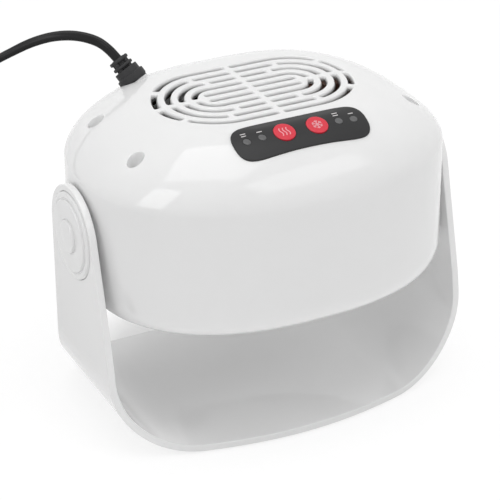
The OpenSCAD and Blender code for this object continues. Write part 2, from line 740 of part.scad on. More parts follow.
module switch_bodies() {
    color([0.15, 0.15, 0.16]) for (x = [-button_x, button_x]) on_panel(x) difference() {
        translate([-3, -3, board_top]) cube([6, 6, switch_h]);
        translate([0, 0, board_top + 0.8]) cylinder(r = plunger_r + run_clear, h = switch_h);
    }
}
module control_board() {
    color(board_brown) difference() {
        on_panel(-board_l/2) translate([0, -board_w/2, board_top - board_t]) cube([board_l, board_w, board_t]);
        board_places() translate([0, 0, -5]) cylinder(r = board_screw_r + 0.1, h = 10);
    }
}
module board_screws() {
    color(steel) board_places() {
        translate([0, 0, -board_t - 1.2]) cylinder(r = 2, h = 1.2);
        translate([0, 0, -board_t - 0.6]) cylinder(r = board_screw_r, h = board_t + 4);
    }
}

// ---- Fan ----

ring_top = seam_z + fan_h;
power_at = [44, 0];
power_l = 32;
power_w = 60;
power_post = 4;                       // posts on the fan frame that carry the power board
power_z = ring_top + power_post;
post_y = 27;
post_x = sqrt(pow(duct_r + duct_wall/2, 2) - pow(post_y, 2));
spoke_z = seam_z + 13;
spoke_t = 2.4;
module fan_frame() {
    color([0.12, 0.12, 0.13]) difference() {
        union() {
            translate([0, 0, seam_z]) ring(duct_r + duct_wall, duct_r, fan_h);
            fan_places() translate([0, 0, seam_z]) cylinder(r = 3.4, h = 3);
            for (f = [0:90:270]) rotate(f) translate([motor_r, -2.5, spoke_z]) cube([duct_r - motor_r + 0.5, 5, spoke_t]);
            translate([0, 0, spoke_z]) cylinder(r = motor_r + 2, h = spoke_t);
            translate([0, 0, spoke_z]) ring(motor_r + 2, motor_r, 7);
            for (s = [-1, 1]) translate([post_x, s*post_y, ring_top - 8]) cylinder(r = 2.2, h = 8 + power_post);
        }
        translate([0, 0, spoke_z - 1]) cylinder(r = shaft_r + 2, h = 10);
        fan_places() translate([0, 0, seam_z - 1]) cylinder(r = 1.4, h = 10);
        for (s = [-1, 1]) translate([post_x, s*post_y, power_z - 6]) cylinder(r = 0.9, h = 10);
    }
}
module fan_screws() {
    color(steel) fan_places() {
        translate([0, 0, seam_z + 3]) cylinder(r = 2, h = 1.6);
        translate([0, 0, seam_z - 6]) cylinder(r = 1.2, h = 9.5);
    }
}
motor_z = spoke_z + spoke_t;
module motor_can() {
    color(steel) translate([0, 0, motor_z]) difference() {
        union() {
            cylinder(r = motor_r - seat_gap, h = motor_h);
            translate([0, 0, motor_h - 0.5]) cylinder(r = 4, h = 1.5);
        }
        translate([0, 0, -1]) cylinder(r = shaft_r + 1.5, h = 4);
        translate([0, 0, -1]) cylinder(r = shaft_r + 0.8, h = motor_h - 1);
    }
}
module motor_bearing() {
    color([0.75, 0.6, 0.3]) translate([0, 0, motor_z]) ring(shaft_r + 1.5, shaft_r + run_clear, 3);
}
hub_h = 9;
hub_top = spoke_z - 1.5;
module motor_shaft() {
    color(steel) translate([0, 0, hub_top - hub_h]) cylinder(r = shaft_r, h = motor_z + motor_h - 2.5 - hub_top + hub_h);
}
module impeller() {
    color([0.16, 0.16, 0.17]) difference() {
        union() {
            translate([0, 0, hub_top - hub_h]) cylinder(r = hub_r, h = hub_h);
            intersection() {
                for (i = [0:blades - 1]) rotate(360*i/blades) translate([hub_r - 1, 0, hub_top - hub_h/2])
                    rotate([38, 0, 0]) translate([0, -10, -0.7]) cube([impeller_r, 20, 1.4]);
                translate([0, 0, hub_top - hub_h]) cylinder(r = impeller_r, h = hub_h);
            }
        }
        translate([0, 0, hub_top - hub_h - 1]) cylinder(r = shaft_r, h = hub_h + 2);
    }
}

// ---- Power board ----

module power_board() {
    color(board_brown) difference() {
        translate([power_at[0] - power_l/2, -power_w/2, power_z]) cube([power_l, power_w, board_t]);
        for (s = [-1, 1]) translate([post_x, s*post_y, power_z - 1]) cylinder(r = 1.1, h = 5);
    }
}
module power_screws() {
    color(steel) for (s = [-1, 1]) translate([post_x, s*post_y, 0]) {
        translate([0, 0, power_z + board_t]) cylinder(r = 2.2, h = 1.2);
        translate([0, 0, power_z - 5]) cylinder(r = 0.9, h = 5 + board_t + 0.5);
    }
}
module board_capacitor() {
    color([0.2, 0.25, 0.4]) translate([54, 12, power_z + board_t + 3]) rotate([90, 0, 0]) cylinder(r = 3, h = 12);
}
module board_relay() {
    color([0.15, 0.15, 0.3]) translate([40, 6, power_z + board_t]) cube([9, 14, 5]);
}

// ---- Heater ----

heater_span = duct_r - clear;
mica_reach = heater_r - wire_d/2 - 0.2;
module heater_frame() {
    color([0.75, 0.66, 0.5]) translate([0, 0, heater_z]) difference() {
        union() {
            for (f = [0, 90]) rotate(f) {
                translate([-heater_span, -mica_t/2, 0]) cube([2*heater_span, mica_t, 6]);
                translate([-mica_reach, -mica_t/2, 0]) cube([2*mica_reach, mica_t, mica_h]);
            }
        }
    }
}
heater_step = (mica_h - 10)/heater_turns;
heater_rings = 20*heater_turns;
function heater_point(i) = let (t = i/20)
    [heater_r*cos(360*t), heater_r*sin(360*t), heater_z + 7 + wire_d/2 + heater_step*t];
module heater_wire() {
    path = [for (i = [0:heater_rings]) heater_point(i)];
    color([0.6, 0.55, 0.5]) skin([for (i = [0:heater_rings])
        cord_ring(path[i], tangent(path, i), wire_d, wire_d, 6, 0)]);
}
module thermostat() {
    color(steel) translate([12, mica_t/2, heater_z + mica_h/2]) rotate([-90, 0, 0]) {
        cylinder(r = 5, h = 4);
        cylinder(r = 2, h = 6);
    }
}
module thermal_fuse() {
    color([0.9, 0.9, 0.85]) translate([-18, mica_t/2 + 1.5, heater_z + mica_h/2]) rotate([0, 90, 0])
        cylinder(r = 1.5, h = 9);
}

// ---- Strain relief and cord ----

boot_neck_r = 5;
module cord_boot() {
    neck = boot_len - 2.8;
    color(cord_black) on_boot() {
        translate([0, 0, -boot_sink]) cylinder(r = boot_flange_r, h = 2.8 + boot_sink);
        translate([0, 0, 2.7]) cylinder(r = 5.2, h = 3.2);
        translate([0, 0, 5.8]) ring(3.4, 0, neck - 3);
        for (z = [6.8, 9.6]) translate([0, 0, z]) cylinder(r = 5.2 - (z - 6.8)/6, h = 1.5);
        for (f = [0, 90]) rotate(f) translate([-4.6, -1.2, 5.8]) cube([9.2, 2.4, 5.2]);
        translate([0, 0, -boot_sink - 5]) cylinder(r = boot_neck_r, h = 5.1);
        translate([0, 0, -boot_sink - 7.2]) cylinder(r = 6.2, h = 2.2);
    }
}

function wire_path(points) = spline_path(points, 3);
module wire(points, d) {
    path = wire_path(points);
    skin([for (i = [0:len(path) - 1]) cord_ring(path[i], tangent(path, i), d, d, 6, 0)]);
}
boot_inside = boot_at - boot_dir*(boot_sink + 7.2 + 4*clear);
module mains_leads() {
    color([0.5, 0.3, 0.15]) for (s = [-1, 1])
        wire([boot_inside + [0, s*1.6, 0], boot_inside + [2.5, s*1.4 - 2.5, s - 5], [-26, 45, ring_top + 2 + s*1.4],
              [-10, 51, ring_top + 2 + s*1.4], [37, 40, ring_top + 2 + s*1.4], [50 + s*2, 28, power_z - 2.6],
              [50 + s*2, 26, power_z - 2*clear]], 1.6);
}
module motor_leads() {
    color([0.7, 0.1, 0.1]) for (s = [-1, 1])
        wire([[8, s*3, motor_z + motor_h + 2*clear], [10, s*3, motor_z + motor_h + 2.6],
              [18, s*2.6 + 1, motor_z + motor_h + 1], [27, s*2.2 + 3, power_z + board_t + 2.6],
              [32, s*2 + 4, power_z + board_t + 2*clear]], 1.2);
}

cord_sides = 10;
cord_twist = 90;                      // the cord leaves the strain relief standing on its edge
module power_cord() {
    path = spline_path(concat(route, [coil_in]), 2);
    n = len(path) - 1;
    color(cord_black) skin([for (i = [0:n]) cord_ring(path[i],
        i == 0 ? boot_dir : i == n ? [0, -1, 0] : tangent(path, i), cord_w, cord_t, cord_sides,
        cord_twist*(1 - smooth(i/n/0.45)))]);
}

coil_steps = coil_turns*coil_rings_per_turn;
coil_rings = concat(
    [cord_ring(coil_in, [0, -1, 0], cord_w, cord_t, 6, 0)],
    [for (i = [0:coil_steps]) let (t = i/coil_rings_per_turn)
        cord_ring(coil_point(t), coil_tangent(t), cord_w, cord_t, 6, 0)],
    [cord_ring(coil_end, coil_out, cord_w, cord_t, 6, 0)]
);
module cord_coil() {
    color(cord_black) skin(coil_rings);
}
// Least distance between the corners of rings at least half a turn apart
apart = coil_rings_per_turn/2;
coil_gap = min([for (i = [0:len(coil_rings) - 1]) for (j = [i + apart:1:len(coil_rings) - 1])
    if (norm(coil_rings[i][0] - coil_rings[j][0]) < 3*cord_w)
        min([for (p = coil_rings[i]) for (q = coil_rings[j]) norm(p - q)])]);
echo(coil_gap = coil_gap);
function path_length(p) = len(p) < 2 ? 0 : [for (i = 0, s = 0; i < len(p); i = i + 1,
    s = s + (i < len(p) ? norm(p[i] - p[i - 1]) : 0)) s][len(p) - 1];

tie_angle = 250;
tie_band = 0.6;
tie_gap = 0.2;
module cord_tie() {
    r_in = coil_radius(coil_mid) - cord_w/2 - tie_gap;
    r_out = coil_r + turn_pitch/2 + cord_w/2 + tie_gap;
    tall = layer_pitch + cord_t + 2*tie_gap;
    color([0.2, 0.2, 0.2]) translate([coil_at[0], coil_at[1], 0]) rotate(tie_angle)
        difference() {
            translate([r_in - tie_band, -2, 0]) cube([r_out - r_in + 2*tie_band, 4, tall + 2*tie_band]);
            translate([r_in, -3, tie_band]) cube([r_out - r_in, 6, tall]);
        }
}

module at_plug() {
    translate(coil_end) rotate(atan2(coil_out[1], coil_out[0])) children();
}
module plug_body() {
    color(cord_black) at_plug() {
        hull() {
            translate([plug_neck, 0, 0]) cube([1, 12, plug_t - 4], center = true);
            translate([plug_neck + 10, 0, 0]) cube([1, plug_w, plug_t], center = true);
            translate([plug_neck + plug_l - 1.5, 0, 0]) cube([3, plug_w, plug_t], center = true);
        }
        rotate([0, 90, 0]) cylinder(r1 = cord_w/2 + 0.1, r2 = 4, h = plug_neck + 0.5);
    }
}
module plug_pins() {
    color(steel) at_plug() for (s = [-1, 1])
        translate([plug_neck + plug_l, s*6.35 - 0.75, -3.1]) cube([pin_l, 1.5, 6.2]);
}

stand_frame();
hub_cap_left();
hub_cap_right();
pivot_bush_left();
pivot_bush_right();
rubber_feet();
head_shell();
bottom_cover();
control_panel();
indicator_lenses();
indicator_leds();
control_board();
switch_bodies();
board_screws();
power_board();
board_capacitor();
board_relay();
power_screws();
pivot_screws();
pivot_washers();
shell_screws();
fan_frame();
fan_screws();
motor_can();
motor_bearing();
heater_frame();
heater_wire();
thermostat();
thermal_fuse();
mains_leads();
motor_leads();
cord_boot();
impeller();
motor_shaft();
hot_button();
hot_plunger();
cool_button();
cool_plunger();
power_cord();
cord_coil();
cord_tie();
plug_body();
plug_pins();
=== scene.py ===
# Nail polish fan dryer: the looks of every piece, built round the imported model.
# Same frame as the model: X along the tilt axis, -Y the side where the hand goes in, +Z up, table at z = 0.
# Shapes are worked out in millimetres and turned into metres when their mesh is made.
import json
import math

import bmesh
import bpy
import numpy as np
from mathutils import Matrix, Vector
from mathutils.geometry import delaunay_2d_cdt


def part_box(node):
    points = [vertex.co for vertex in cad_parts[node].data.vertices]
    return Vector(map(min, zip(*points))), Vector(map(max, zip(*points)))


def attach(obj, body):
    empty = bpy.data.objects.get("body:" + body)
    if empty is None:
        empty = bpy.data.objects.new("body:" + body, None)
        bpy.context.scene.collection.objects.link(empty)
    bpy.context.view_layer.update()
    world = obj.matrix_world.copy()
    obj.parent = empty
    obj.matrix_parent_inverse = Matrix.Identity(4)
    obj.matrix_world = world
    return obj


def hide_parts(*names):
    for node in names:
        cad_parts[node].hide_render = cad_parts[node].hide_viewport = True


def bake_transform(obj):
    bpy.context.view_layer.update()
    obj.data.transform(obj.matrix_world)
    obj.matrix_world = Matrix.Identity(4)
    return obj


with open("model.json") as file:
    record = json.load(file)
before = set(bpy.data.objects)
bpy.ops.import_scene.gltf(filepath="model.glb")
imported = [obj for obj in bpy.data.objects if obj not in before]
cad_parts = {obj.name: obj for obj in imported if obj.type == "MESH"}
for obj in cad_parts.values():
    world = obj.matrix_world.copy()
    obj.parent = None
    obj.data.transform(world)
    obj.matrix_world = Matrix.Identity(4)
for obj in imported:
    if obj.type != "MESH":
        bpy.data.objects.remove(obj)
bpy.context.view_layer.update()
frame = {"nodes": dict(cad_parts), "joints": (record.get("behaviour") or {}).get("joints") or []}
MM = 0.001
TINY = 1e-6


def box_mm(node):
    low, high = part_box(node)
    return np.array(low)/MM, np.array(high)/MM


def joint(name):
    return next(j for j in frame["joints"] if j["name"] == name)


def show(thing):
    bpy.context.scene.collection.objects.link(thing)


# ---- Sizes, in millimetres ----

stand_low, stand_high = box_mm("stand_frame")
head_low, head_high = box_mm("head_shell")
PIVOT_Z = joint("head_tilt")["pos_m"][2]/MM

STAND_HALF = stand_high[0]
FOOT_OUT = stand_low[2]  # height of the floor over the table
STAND_WALL = 3.4
CORNER_R = 41.0  # outer radius of the bends between the floor and the arms
ARM_R = 23.3  # the arms' round ends, and how far these lie behind the tilt axis
ARM_SHIFT = 0.7
FLOOR_FRONT = 57.9
FLOOR_REAR = 54.5

HEAD_A = head_high[0]  # half width and half depth at the shoulder, then at the flat top
HEAD_B = 68.5
TOP_A = 42.0
TOP_B = 39.3
TOP_Z = head_high[2]
BASE_Z = head_low[2]
SHOULDER_Z = PIVOT_Z + 26.5
WALL_DRAFT = 0.03
SIDE_POWER = 2.39  # squareness of the plan at the shoulder and at the top, and of the shoulder
TOP_POWER = 3.0
SHOULDER_POWER = 1.5
SHELL_WALL = 2.6

BUTTON_Y = -44.3
BUTTON_X = 8.1
BUTTON_R = 5.8
BUTTON_BORE = 6.1
CAP_SHOWN_R = 5.05  # the part of a button that stands in the film's hole
LIGHT_X = (19.0, 26.5)
LIGHT_R = 2.1
LENS_R = 1.8  # the part of a light that shows in the film's hole
PANEL_W = 66.0
PANEL_REAR = -34.7
PANEL_FRONT = -54.8
PANEL_ARCH = 1.6  # how far back the panel's front edge lies at its middle
PANEL_T = 0.6


# ---- Camera: the photograph's viewpoint ----

def make_camera():
    azimuth, elevation = math.radians(26.92), math.radians(28.47)
    look_at, distance = Vector((-6.3, -7.55, 74.58)), 949.88
    focal_px, frame_px = 2020.45, 500
    forward = Vector((math.sin(azimuth)*math.cos(elevation), math.cos(azimuth)*math.cos(elevation),
                      -math.sin(elevation)))
    data = bpy.data.cameras.new("camera")
    data.sensor_width = 36
    data.lens = focal_px/frame_px*data.sensor_width
    data.clip_start, data.clip_end = 0.05, 20
    camera = bpy.data.objects.new("camera", data)
    camera.location = (look_at - distance*forward)*MM
    camera.rotation_mode = "QUATERNION"
    camera.rotation_quaternion = forward.to_track_quat("-Z", "Y")
    show(camera)
    bpy.context.scene.camera = camera


make_camera()
bpy.context.scene.view_settings.view_transform = "Standard"


# ---- Mesh building ----

SHARP_DEGREES = 38  # edges that turn by more than this stay sharp
CLEAR_OF_EDGES = 0.7  # least distance from a plan's edge points to the points inside it


class Form:
    """Points in millimetres, with faces between rows of them, and the normal of each point where it is known."""

    def __init__(self):
        self.points, self.normals, self.faces = [], [], []

    def row(self, points, normals=None):
        first = len(self.points)
        self.points += [tuple(p) for p in points]
        self.normals += [tuple(n) for n in normals] if normals is not None else [(0, 0, 0)]*len(points)
        return list(range(first, len(self.points)))

    def band(self, a, b):
        """Faces between two closed rows of equal length, seen from the side where b lies to the left of a."""
        for k in range(len(a)):
            m = (k + 1) % len(a)
            self.faces.append((a[k], a[m], b[m], b[k]))

    def bands(self, rows, flip=False):
        """Bands between each row and the next."""
        for a, b in zip(rows, rows[1:]):
            self.band(*((b, a) if flip else (a, b)))

    def lid(self, row, flip=False):
        self.faces.append(tuple(reversed(row)) if flip else tuple(row))

    def build(self, name, body, finish, slot):
        mesh = bpy.data.meshes.new(name)
        mesh.from_pydata([(x*MM, y*MM, z*MM) for x, y, z in self.points], [], self.faces)
        outward = bmesh.new()
        outward.from_mesh(mesh)
        bmesh.ops.recalc_face_normals(outward, faces=outward.faces)
        outward.to_mesh(mesh)
        outward.free()
        mesh.polygons.foreach_set("use_smooth", [True]*len(mesh.polygons))
        mesh.set_sharp_from_angle(angle=math.radians(SHARP_DEGREES))
        if any(n != (0, 0, 0) for n in self.normals):
            mesh.normals_split_custom_set_from_vertices(self.normals)
        piece = bpy.data.objects.new(name, mesh)
        show(piece)
        mesh.materials.append(finish)
        if body:
            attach(piece, body)
        return piece


def inside_loop(points, loop):
    """1 for each point inside the loop and 0 for each outside it."""
    count = np.zeros(len(points), int)
    low, high = loop.min(axis=0), loop.max(axis=0)
    near = np.all((points >= low) & (points <= high), axis=1)
    x, y = points[near, 0][:, None], points[near, 1][:, None]
    ax, ay = loop[:, 0][None], loop[:, 1][None]
    bx, by = np.roll(loop[:, 0], -1)[None], np.roll(loop[:, 1], -1)[None]
    run = np.where(by == ay, 1e-12, by - ay)
    crosses = ((ay > y) != (by > y)) & (x < (bx - ax)*(y - ay)/run + ax)
    count[near] = crosses.sum(axis=1) % 2
    return count


def fill_plan(border, holes, inside):
    """Triangles between a border and the holes in it, with points inside to shape them, all in a plane.
    Gives the plane's points, the triangles, and where each point of the border and the holes went."""
    loops = [np.asarray(border)] + [np.asarray(h) for h in holes]
    points, edges, starts = [], [], []
    for loop in loops:
        first, n = len(points), len(loop)
        starts.append(first)
        points += [Vector(p) for p in loop]
        edges += [(first + k, first + (k + 1) % n) for k in range(n)]
    edge_points = np.concatenate(loops)
    inside = np.asarray(inside)
    inside = inside[inside_loop(inside, loops[0]) == 1]
    points += [Vector(p) for p in inside
               if np.min(np.sum((edge_points - p)**2, axis=1)) > CLEAR_OF_EDGES**2]
    made, _, faces, origins, _, _ = delaunay_2d_cdt(points, edges, [], 0, TINY, True)
    made = np.array([(p[0], p[1]) for p in made])
    place = {}
    for new, old in enumerate(origins):
        for k in old:
            place[k] = new
    middle = np.array([made[list(f)].mean(axis=0) for f in faces])
    odd = np.zeros(len(faces), int)
    for loop in loops:
        odd += inside_loop(middle, loop)
    kept = [f for f, count in zip(faces, odd) if count % 2 == 1]
    rings = [[place[s + k] for k in range(len(loop))] for s, loop in zip(starts, loops)]
    return made, kept, rings


def add_fill(form, border, holes, inside, lift, flip=False, turn=False):
    """Adds a filled plan to a form; lift gives places and normals, and turn is for the normals of an inner face."""
    made, triangles, rings = fill_plan(border, holes, inside)
    places, normals = lift(made)
    ids = form.row(places, -normals if turn else normals)
    for a, b, c in triangles:
        form.faces.append((ids[c], ids[b], ids[a]) if flip else (ids[a], ids[b], ids[c]))
    return [[ids[k] for k in ring] for ring in rings]


def angles(n, start=0.0):
    """A full turn in n steps; start is a share of a step."""
    return 2*math.pi*(np.arange(n) + start)/n


def circle(r, n=48, centre=(0, 0)):
    f = angles(n)
    return np.stack([centre[0] + r*np.cos(f), centre[1] + r*np.sin(f)], -1)


def at_height(plan, z):
    return np.concatenate([plan, np.full((len(plan), 1), z)], axis=1)


def fillet(r, steps=4):
    """(distance out from the wall, depth below the face) down a rounded edge of radius r."""
    return [(r*(1 - math.sin(f)), r*(1 - math.cos(f))) for f in np.linspace(0, math.pi/2, steps + 1)]


def inset(loop, e):
    """A closed loop moved inwards by e, for a loop that turns anticlockwise."""
    before, after = np.roll(loop, 1, axis=0), np.roll(loop, -1, axis=0)
    a, b = loop - before, after - loop
    a /= np.linalg.norm(a, axis=1)[:, None]
    b /= np.linalg.norm(b, axis=1)[:, None]
    na, nb = np.stack([-a[:, 1], a[:, 0]], -1), np.stack([-b[:, 1], b[:, 0]], -1)
    both = na + nb
    return loop + both*(e*2/np.maximum(np.sum(both*both, axis=1), 1.0))[:, None]


def axes_of(direction):
    """Two unit vectors square to a direction, the first of them level, and the direction itself."""
    d = np.asarray(direction, float)/np.linalg.norm(direction)
    side = np.cross((0, 0, 1), d)
    side = side/np.linalg.norm(side) if np.linalg.norm(side) > TINY else np.array((1.0, 0, 0))
    return side, np.cross(d, side), d


def spokes(axis, n):
    """Unit vectors all round an axis, and the axis."""
    u, v, w = axes_of(axis)
    f = angles(n)
    return np.cos(f)[:, None]*u + np.sin(f)[:, None]*v, w


def lathe(form, profile, origin, direction, steps=64):
    """Turns a profile of (radius, height) round an axis, on which it starts and ends."""
    spoke, w = spokes(direction, steps)
    origin = np.asarray(origin, float)
    made = []
    for r, z in profile:
        made.append(form.row([origin + w*z] if r < TINY else origin + spoke*r + w*z))
    for a, b in zip(made, made[1:]):
        if len(a) == 1:
            form.faces += [(a[0], b[(k + 1) % steps], b[k]) for k in range(steps)]
        elif len(b) == 1:
            form.faces += [(a[k], a[(k + 1) % steps], b[0]) for k in range(steps)]
        else:
            form.band(a, b)


def rounded(points, radii, steps=4):
    """A profile whose corners are rounded by their radii, none by more than 0.49 of a side."""
    made = []
    for k, (p, r) in enumerate(zip(points, radii)):
        p = np.array(p, float)
        if r <= 0 or k in (0, len(points) - 1):
            made.append(tuple(p))
            continue
        a, b = np.array(points[k - 1], float) - p, np.array(points[k + 1], float) - p
        la, lb = np.linalg.norm(a), np.linalg.norm(b)
        a, b = a/la, b/lb
        half = math.acos(max(-1, min(1, float(a @ b))))/2
        reach = min(r/math.tan(half), 0.49*la, 0.49*lb)
        for t in np.linspace(0, 1, steps + 1):
            made.append(tuple(p + a*reach*(1 - t)**2 + b*reach*t**2))
    return made


# ---- Form of the head ----

HALVINGS = 34  # steps that find a height on the shoulder
SLOPE_STEP = 0.05  # distance over which a slope is measured
SETTLE_STEPS = 16  # steps that move a ring onto the head, each by a share
SETTLE_SHARE = 0.6
AROUND = angles(288)


def superellipse(a, b, power, angle):
    c, s = np.cos(angle), np.sin(angle)
    r = (np.abs(c/a)**power + np.abs(s/b)**power)**(-1/power)
    return np.stack([r*c, r*s], -1)


def shoulder_size(h):
    """Half width, half depth and squareness of the head's plan at a share h of the shoulder's height."""
    k = np.maximum(0, 1 - h**SHOULDER_POWER)**(1/SHOULDER_POWER)
    return TOP_A + (HEAD_A - TOP_A)*k, TOP_B + (HEAD_B - TOP_B)*k, SIDE_POWER + (TOP_POWER - SIDE_POWER)*h


def height_over(x, y, wall=0.0):
    """Height of the shoulder over points in plan, by halving; with a wall, that of the shell's inner face."""
    low, high = np.zeros(len(x)), np.ones(len(x))
    for _ in range(HALVINGS):
        h = (low + high)/2
        a, b, power = shoulder_size(h)
        under = (np.abs(x)/(a - wall))**power + (np.abs(y)/(b - wall))**power < 1
        low, high = np.where(under, h, low), np.where(under, high, h)
    return SHOULDER_Z + (TOP_Z - wall - SHOULDER_Z)*(low + high)/2


def on_head(plan, wall=0.0, lift=0.0):
    """Places and normals on the head's upper face, or on the shell's inner face."""
    x, y, e = plan[:, 0], plan[:, 1], SLOPE_STEP
    z = height_over(x, y, wall)
    slope_x = (height_over(x + e, y, wall) - height_over(x - e, y, wall))/(2*e)
    slope_y = (height_over(x, y + e, wall) - height_over(x, y - e, wall))/(2*e)
    normals = np.stack([-slope_x, -slope_y, np.ones(len(x))], -1)
    normals /= np.linalg.norm(normals, axis=1)[:, None]
    return np.stack([x, y, z + lift], -1), normals


def wall_ring(e, z):
    """A ring on the head's side, e inside its outer face at the shoulder."""
    b = HEAD_B + WALL_DRAFT*(SHOULDER_Z - z)
    return at_height(superellipse(HEAD_A - e, b - e, SIDE_POWER, AROUND), z)


def shoulder_ring(degrees, wall=0.0):
    """A ring on the shoulder, from 0 at its foot to 90 at the top."""
    h = math.sin(math.radians(degrees))**(2/SHOULDER_POWER)
    a, b, power = shoulder_size(h)
    return at_height(superellipse(a - wall, b - wall, power, AROUND), SHOULDER_Z + (TOP_Z - wall - SHOULDER_Z)*h)


def slanted_ring(origin, axis, r, wall=0.0, lift=0.0, n=48):
    """A ring about a slanted axis, each point moved along the axis until it lies on the head."""
    spoke, w = spokes(axis, n)
    ring = origin + r*spoke
    for _ in range(SETTLE_STEPS):
        gap = ring[:, 2] - height_over(ring[:, 0], ring[:, 1], wall) - lift
        ring = ring - np.outer(SETTLE_SHARE*gap, w)
    return ring


def flat_ring(origin, axis, r, height, n=48):
    """A ring about an axis, in the plane at a height along it."""
    spoke, w = spokes(axis, n)
    return origin + w*height + r*spoke


# ---- Top grille ----

SLOT_PITCH = 6.16
SLOT_HALF = 1.35
SLOT_CORNER = 0.9
SLOT_STEP = 1.0  # about the distance between points along a slot
ARC_X = 19.4  # centres of the rings' half circles
GRILLE_Y = 1.6
BRIDGE_HALF = 1.5
MIDDLE_SLOTS_X = 3.75*SLOT_PITCH  # where the two straight slots in the middle end


def ring_place(radius, s, t):
    """Point at length s along a quarter of a stadium's line, from its end at +X to the middle, and t outwards."""
    turn = radius*math.pi/2
    f = min(s, turn)/radius
    past = max(0.0, s - turn)
    return np.array([ARC_X + (radius + t)*math.cos(f) - past, (radius + t)*math.sin(f)])


def slot_outline(place, start, end, e):
    """A slot's outline, grown by e, as a rectangle with rounded corners along a curve."""
    r, low, high, half = SLOT_CORNER + e, start - e, end + e, SLOT_HALF + e
    count = max(2, int(round((end - start - 2*SLOT_CORNER)/SLOT_STEP)))
    run = np.linspace(low + r, high - r, count + 1)
    bend = np.linspace(0, math.pi/2, 5)[1:-1]
    flat = [(s, -half) for s in run]
    flat += [(high - r + r*math.sin(f), -half + r - r*math.cos(f)) for f in bend]
    flat += [(high, -half + r), (high, half - r)]
    flat += [(high - r + r*math.cos(f), half - r + r*math.sin(f)) for f in bend]
    flat += [(s, half) for s in run[::-1]]
    flat += [(low + r - r*math.sin(f), half - r + r*math.cos(f)) for f in bend]
    flat += [(low, half - r), (low, -half + r)]
    flat += [(low + r - r*math.cos(f), -half + r - r*math.sin(f)) for f in bend]
    return np.array([place(s, t) for s, t in flat])


def anticlockwise(loop):
    x, y = loop[:, 0], loop[:, 1]
    area = np.sum(x*np.roll(y, -1) - np.roll(x, -1)*y)
    return loop if area > 0 else loop[::-1]


def mirrored_slots(place, start, end):
    """The slot in each quarter of the grille: functions that give its outline in plan, grown by a distance."""
    def outline(e, sx, sy):
        return anticlockwise(slot_outline(place, start, end, e)*(sx, sy) + (0, GRILLE_Y))
    return [lambda e, sx=sx, sy=sy: outline(e, sx, sy) for sx in (-1, 1) for sy in (-1, 1)]


def grille_slots():
    """Straight slots in the middle, and four rings round them, three with extra bridges."""
    slots = mirrored_slots(lambda s, t: np.array([s, SLOT_PITCH/2 + t]), BRIDGE_HALF, MIDDLE_SLOTS_X)
    for i in (1, 2, 3, 4):
        radius = (i + 0.5)*SLOT_PITCH
        length = radius*math.pi/2 + ARC_X
        bridges = {
            1: [],
            2: [length - 2.6*SLOT_PITCH],
            3: [radius*math.acos((3.55*SLOT_PITCH - ARC_X)/radius)],
            4: [radius*math.radians(36)],
        }[i]
        stops = [0] + bridges + [length]
        for a, b in zip(stops, stops[1:]):
            slots += mirrored_slots(lambda s, t, r=radius: ring_place(r, s, t), a + BRIDGE_HALF, b - BRIDGE_HALF)
    return slots


# ---- Materials ----

SUBSURFACE_DEPTH = 0.004  # in metres, as is the grain's depth
GRAIN_DEPTH = 0.0002


def material(name, colour, roughness, metallic=0.0, vary=0.03, blotch=60.0, rough_vary=0.06, grain=900.0,
             bump=0.02, specular=0.5, transmission=0.0, subsurface=0.0):
    """A moulded or metal surface: colour and gloss drift softly over it, and a fine grain breaks its shine."""
    made = bpy.data.materials.new(name)
    made.use_nodes = True
    nodes, links = made.node_tree.nodes, made.node_tree.links
    shader = nodes["Principled BSDF"]
    shader.inputs["Metallic"].default_value = metallic
    shader.inputs["Specular IOR Level"].default_value = specular
    shader.inputs["Transmission Weight"].default_value = transmission
    shader.inputs["Subsurface Weight"].default_value = subsurface
    shader.inputs["Subsurface Scale"].default_value = SUBSURFACE_DEPTH
    shader.inputs["Subsurface Radius"].default_value = (1, 1, 1)
    where = nodes.new("ShaderNodeTexCoord")

    def noise(scale, detail):
        node = nodes.new("ShaderNodeTexNoise")
        node.inputs["Scale"].default_value = scale
        node.inputs["Detail"].default_value = detail
        links.new(where.outputs["Object"], node.inputs["Vector"])
        return node.outputs["Fac"]

    mix = nodes.new("ShaderNodeMix")
    mix.data_type = "RGBA"
    mix.inputs["A"].default_value = (*[c*(1 - vary) for c in colour], 1)
    mix.inputs["B"].default_value = (*[min(1, c*(1 + vary)) for c in colour], 1)
    links.new(noise(blotch, 3), mix.inputs["Factor"])
    links.new(mix.outputs["Result"], shader.inputs["Base Color"])
    gloss = nodes.new("ShaderNodeMapRange")
    gloss.inputs["To Min"].default_value = roughness - rough_vary
    gloss.inputs["To Max"].default_value = roughness + rough_vary
    links.new(noise(blotch*4, 4), gloss.inputs["Value"])
    links.new(gloss.outputs["Result"], shader.inputs["Roughness"])
    height = nodes.new("ShaderNodeBump")
    height.inputs["Strength"].default_value = bump
    height.inputs["Distance"].default_value = GRAIN_DEPTH
    links.new(noise(grain, 2), height.inputs["Height"])
    links.new(height.outputs["Normal"], shader.inputs["Normal"])
    return made


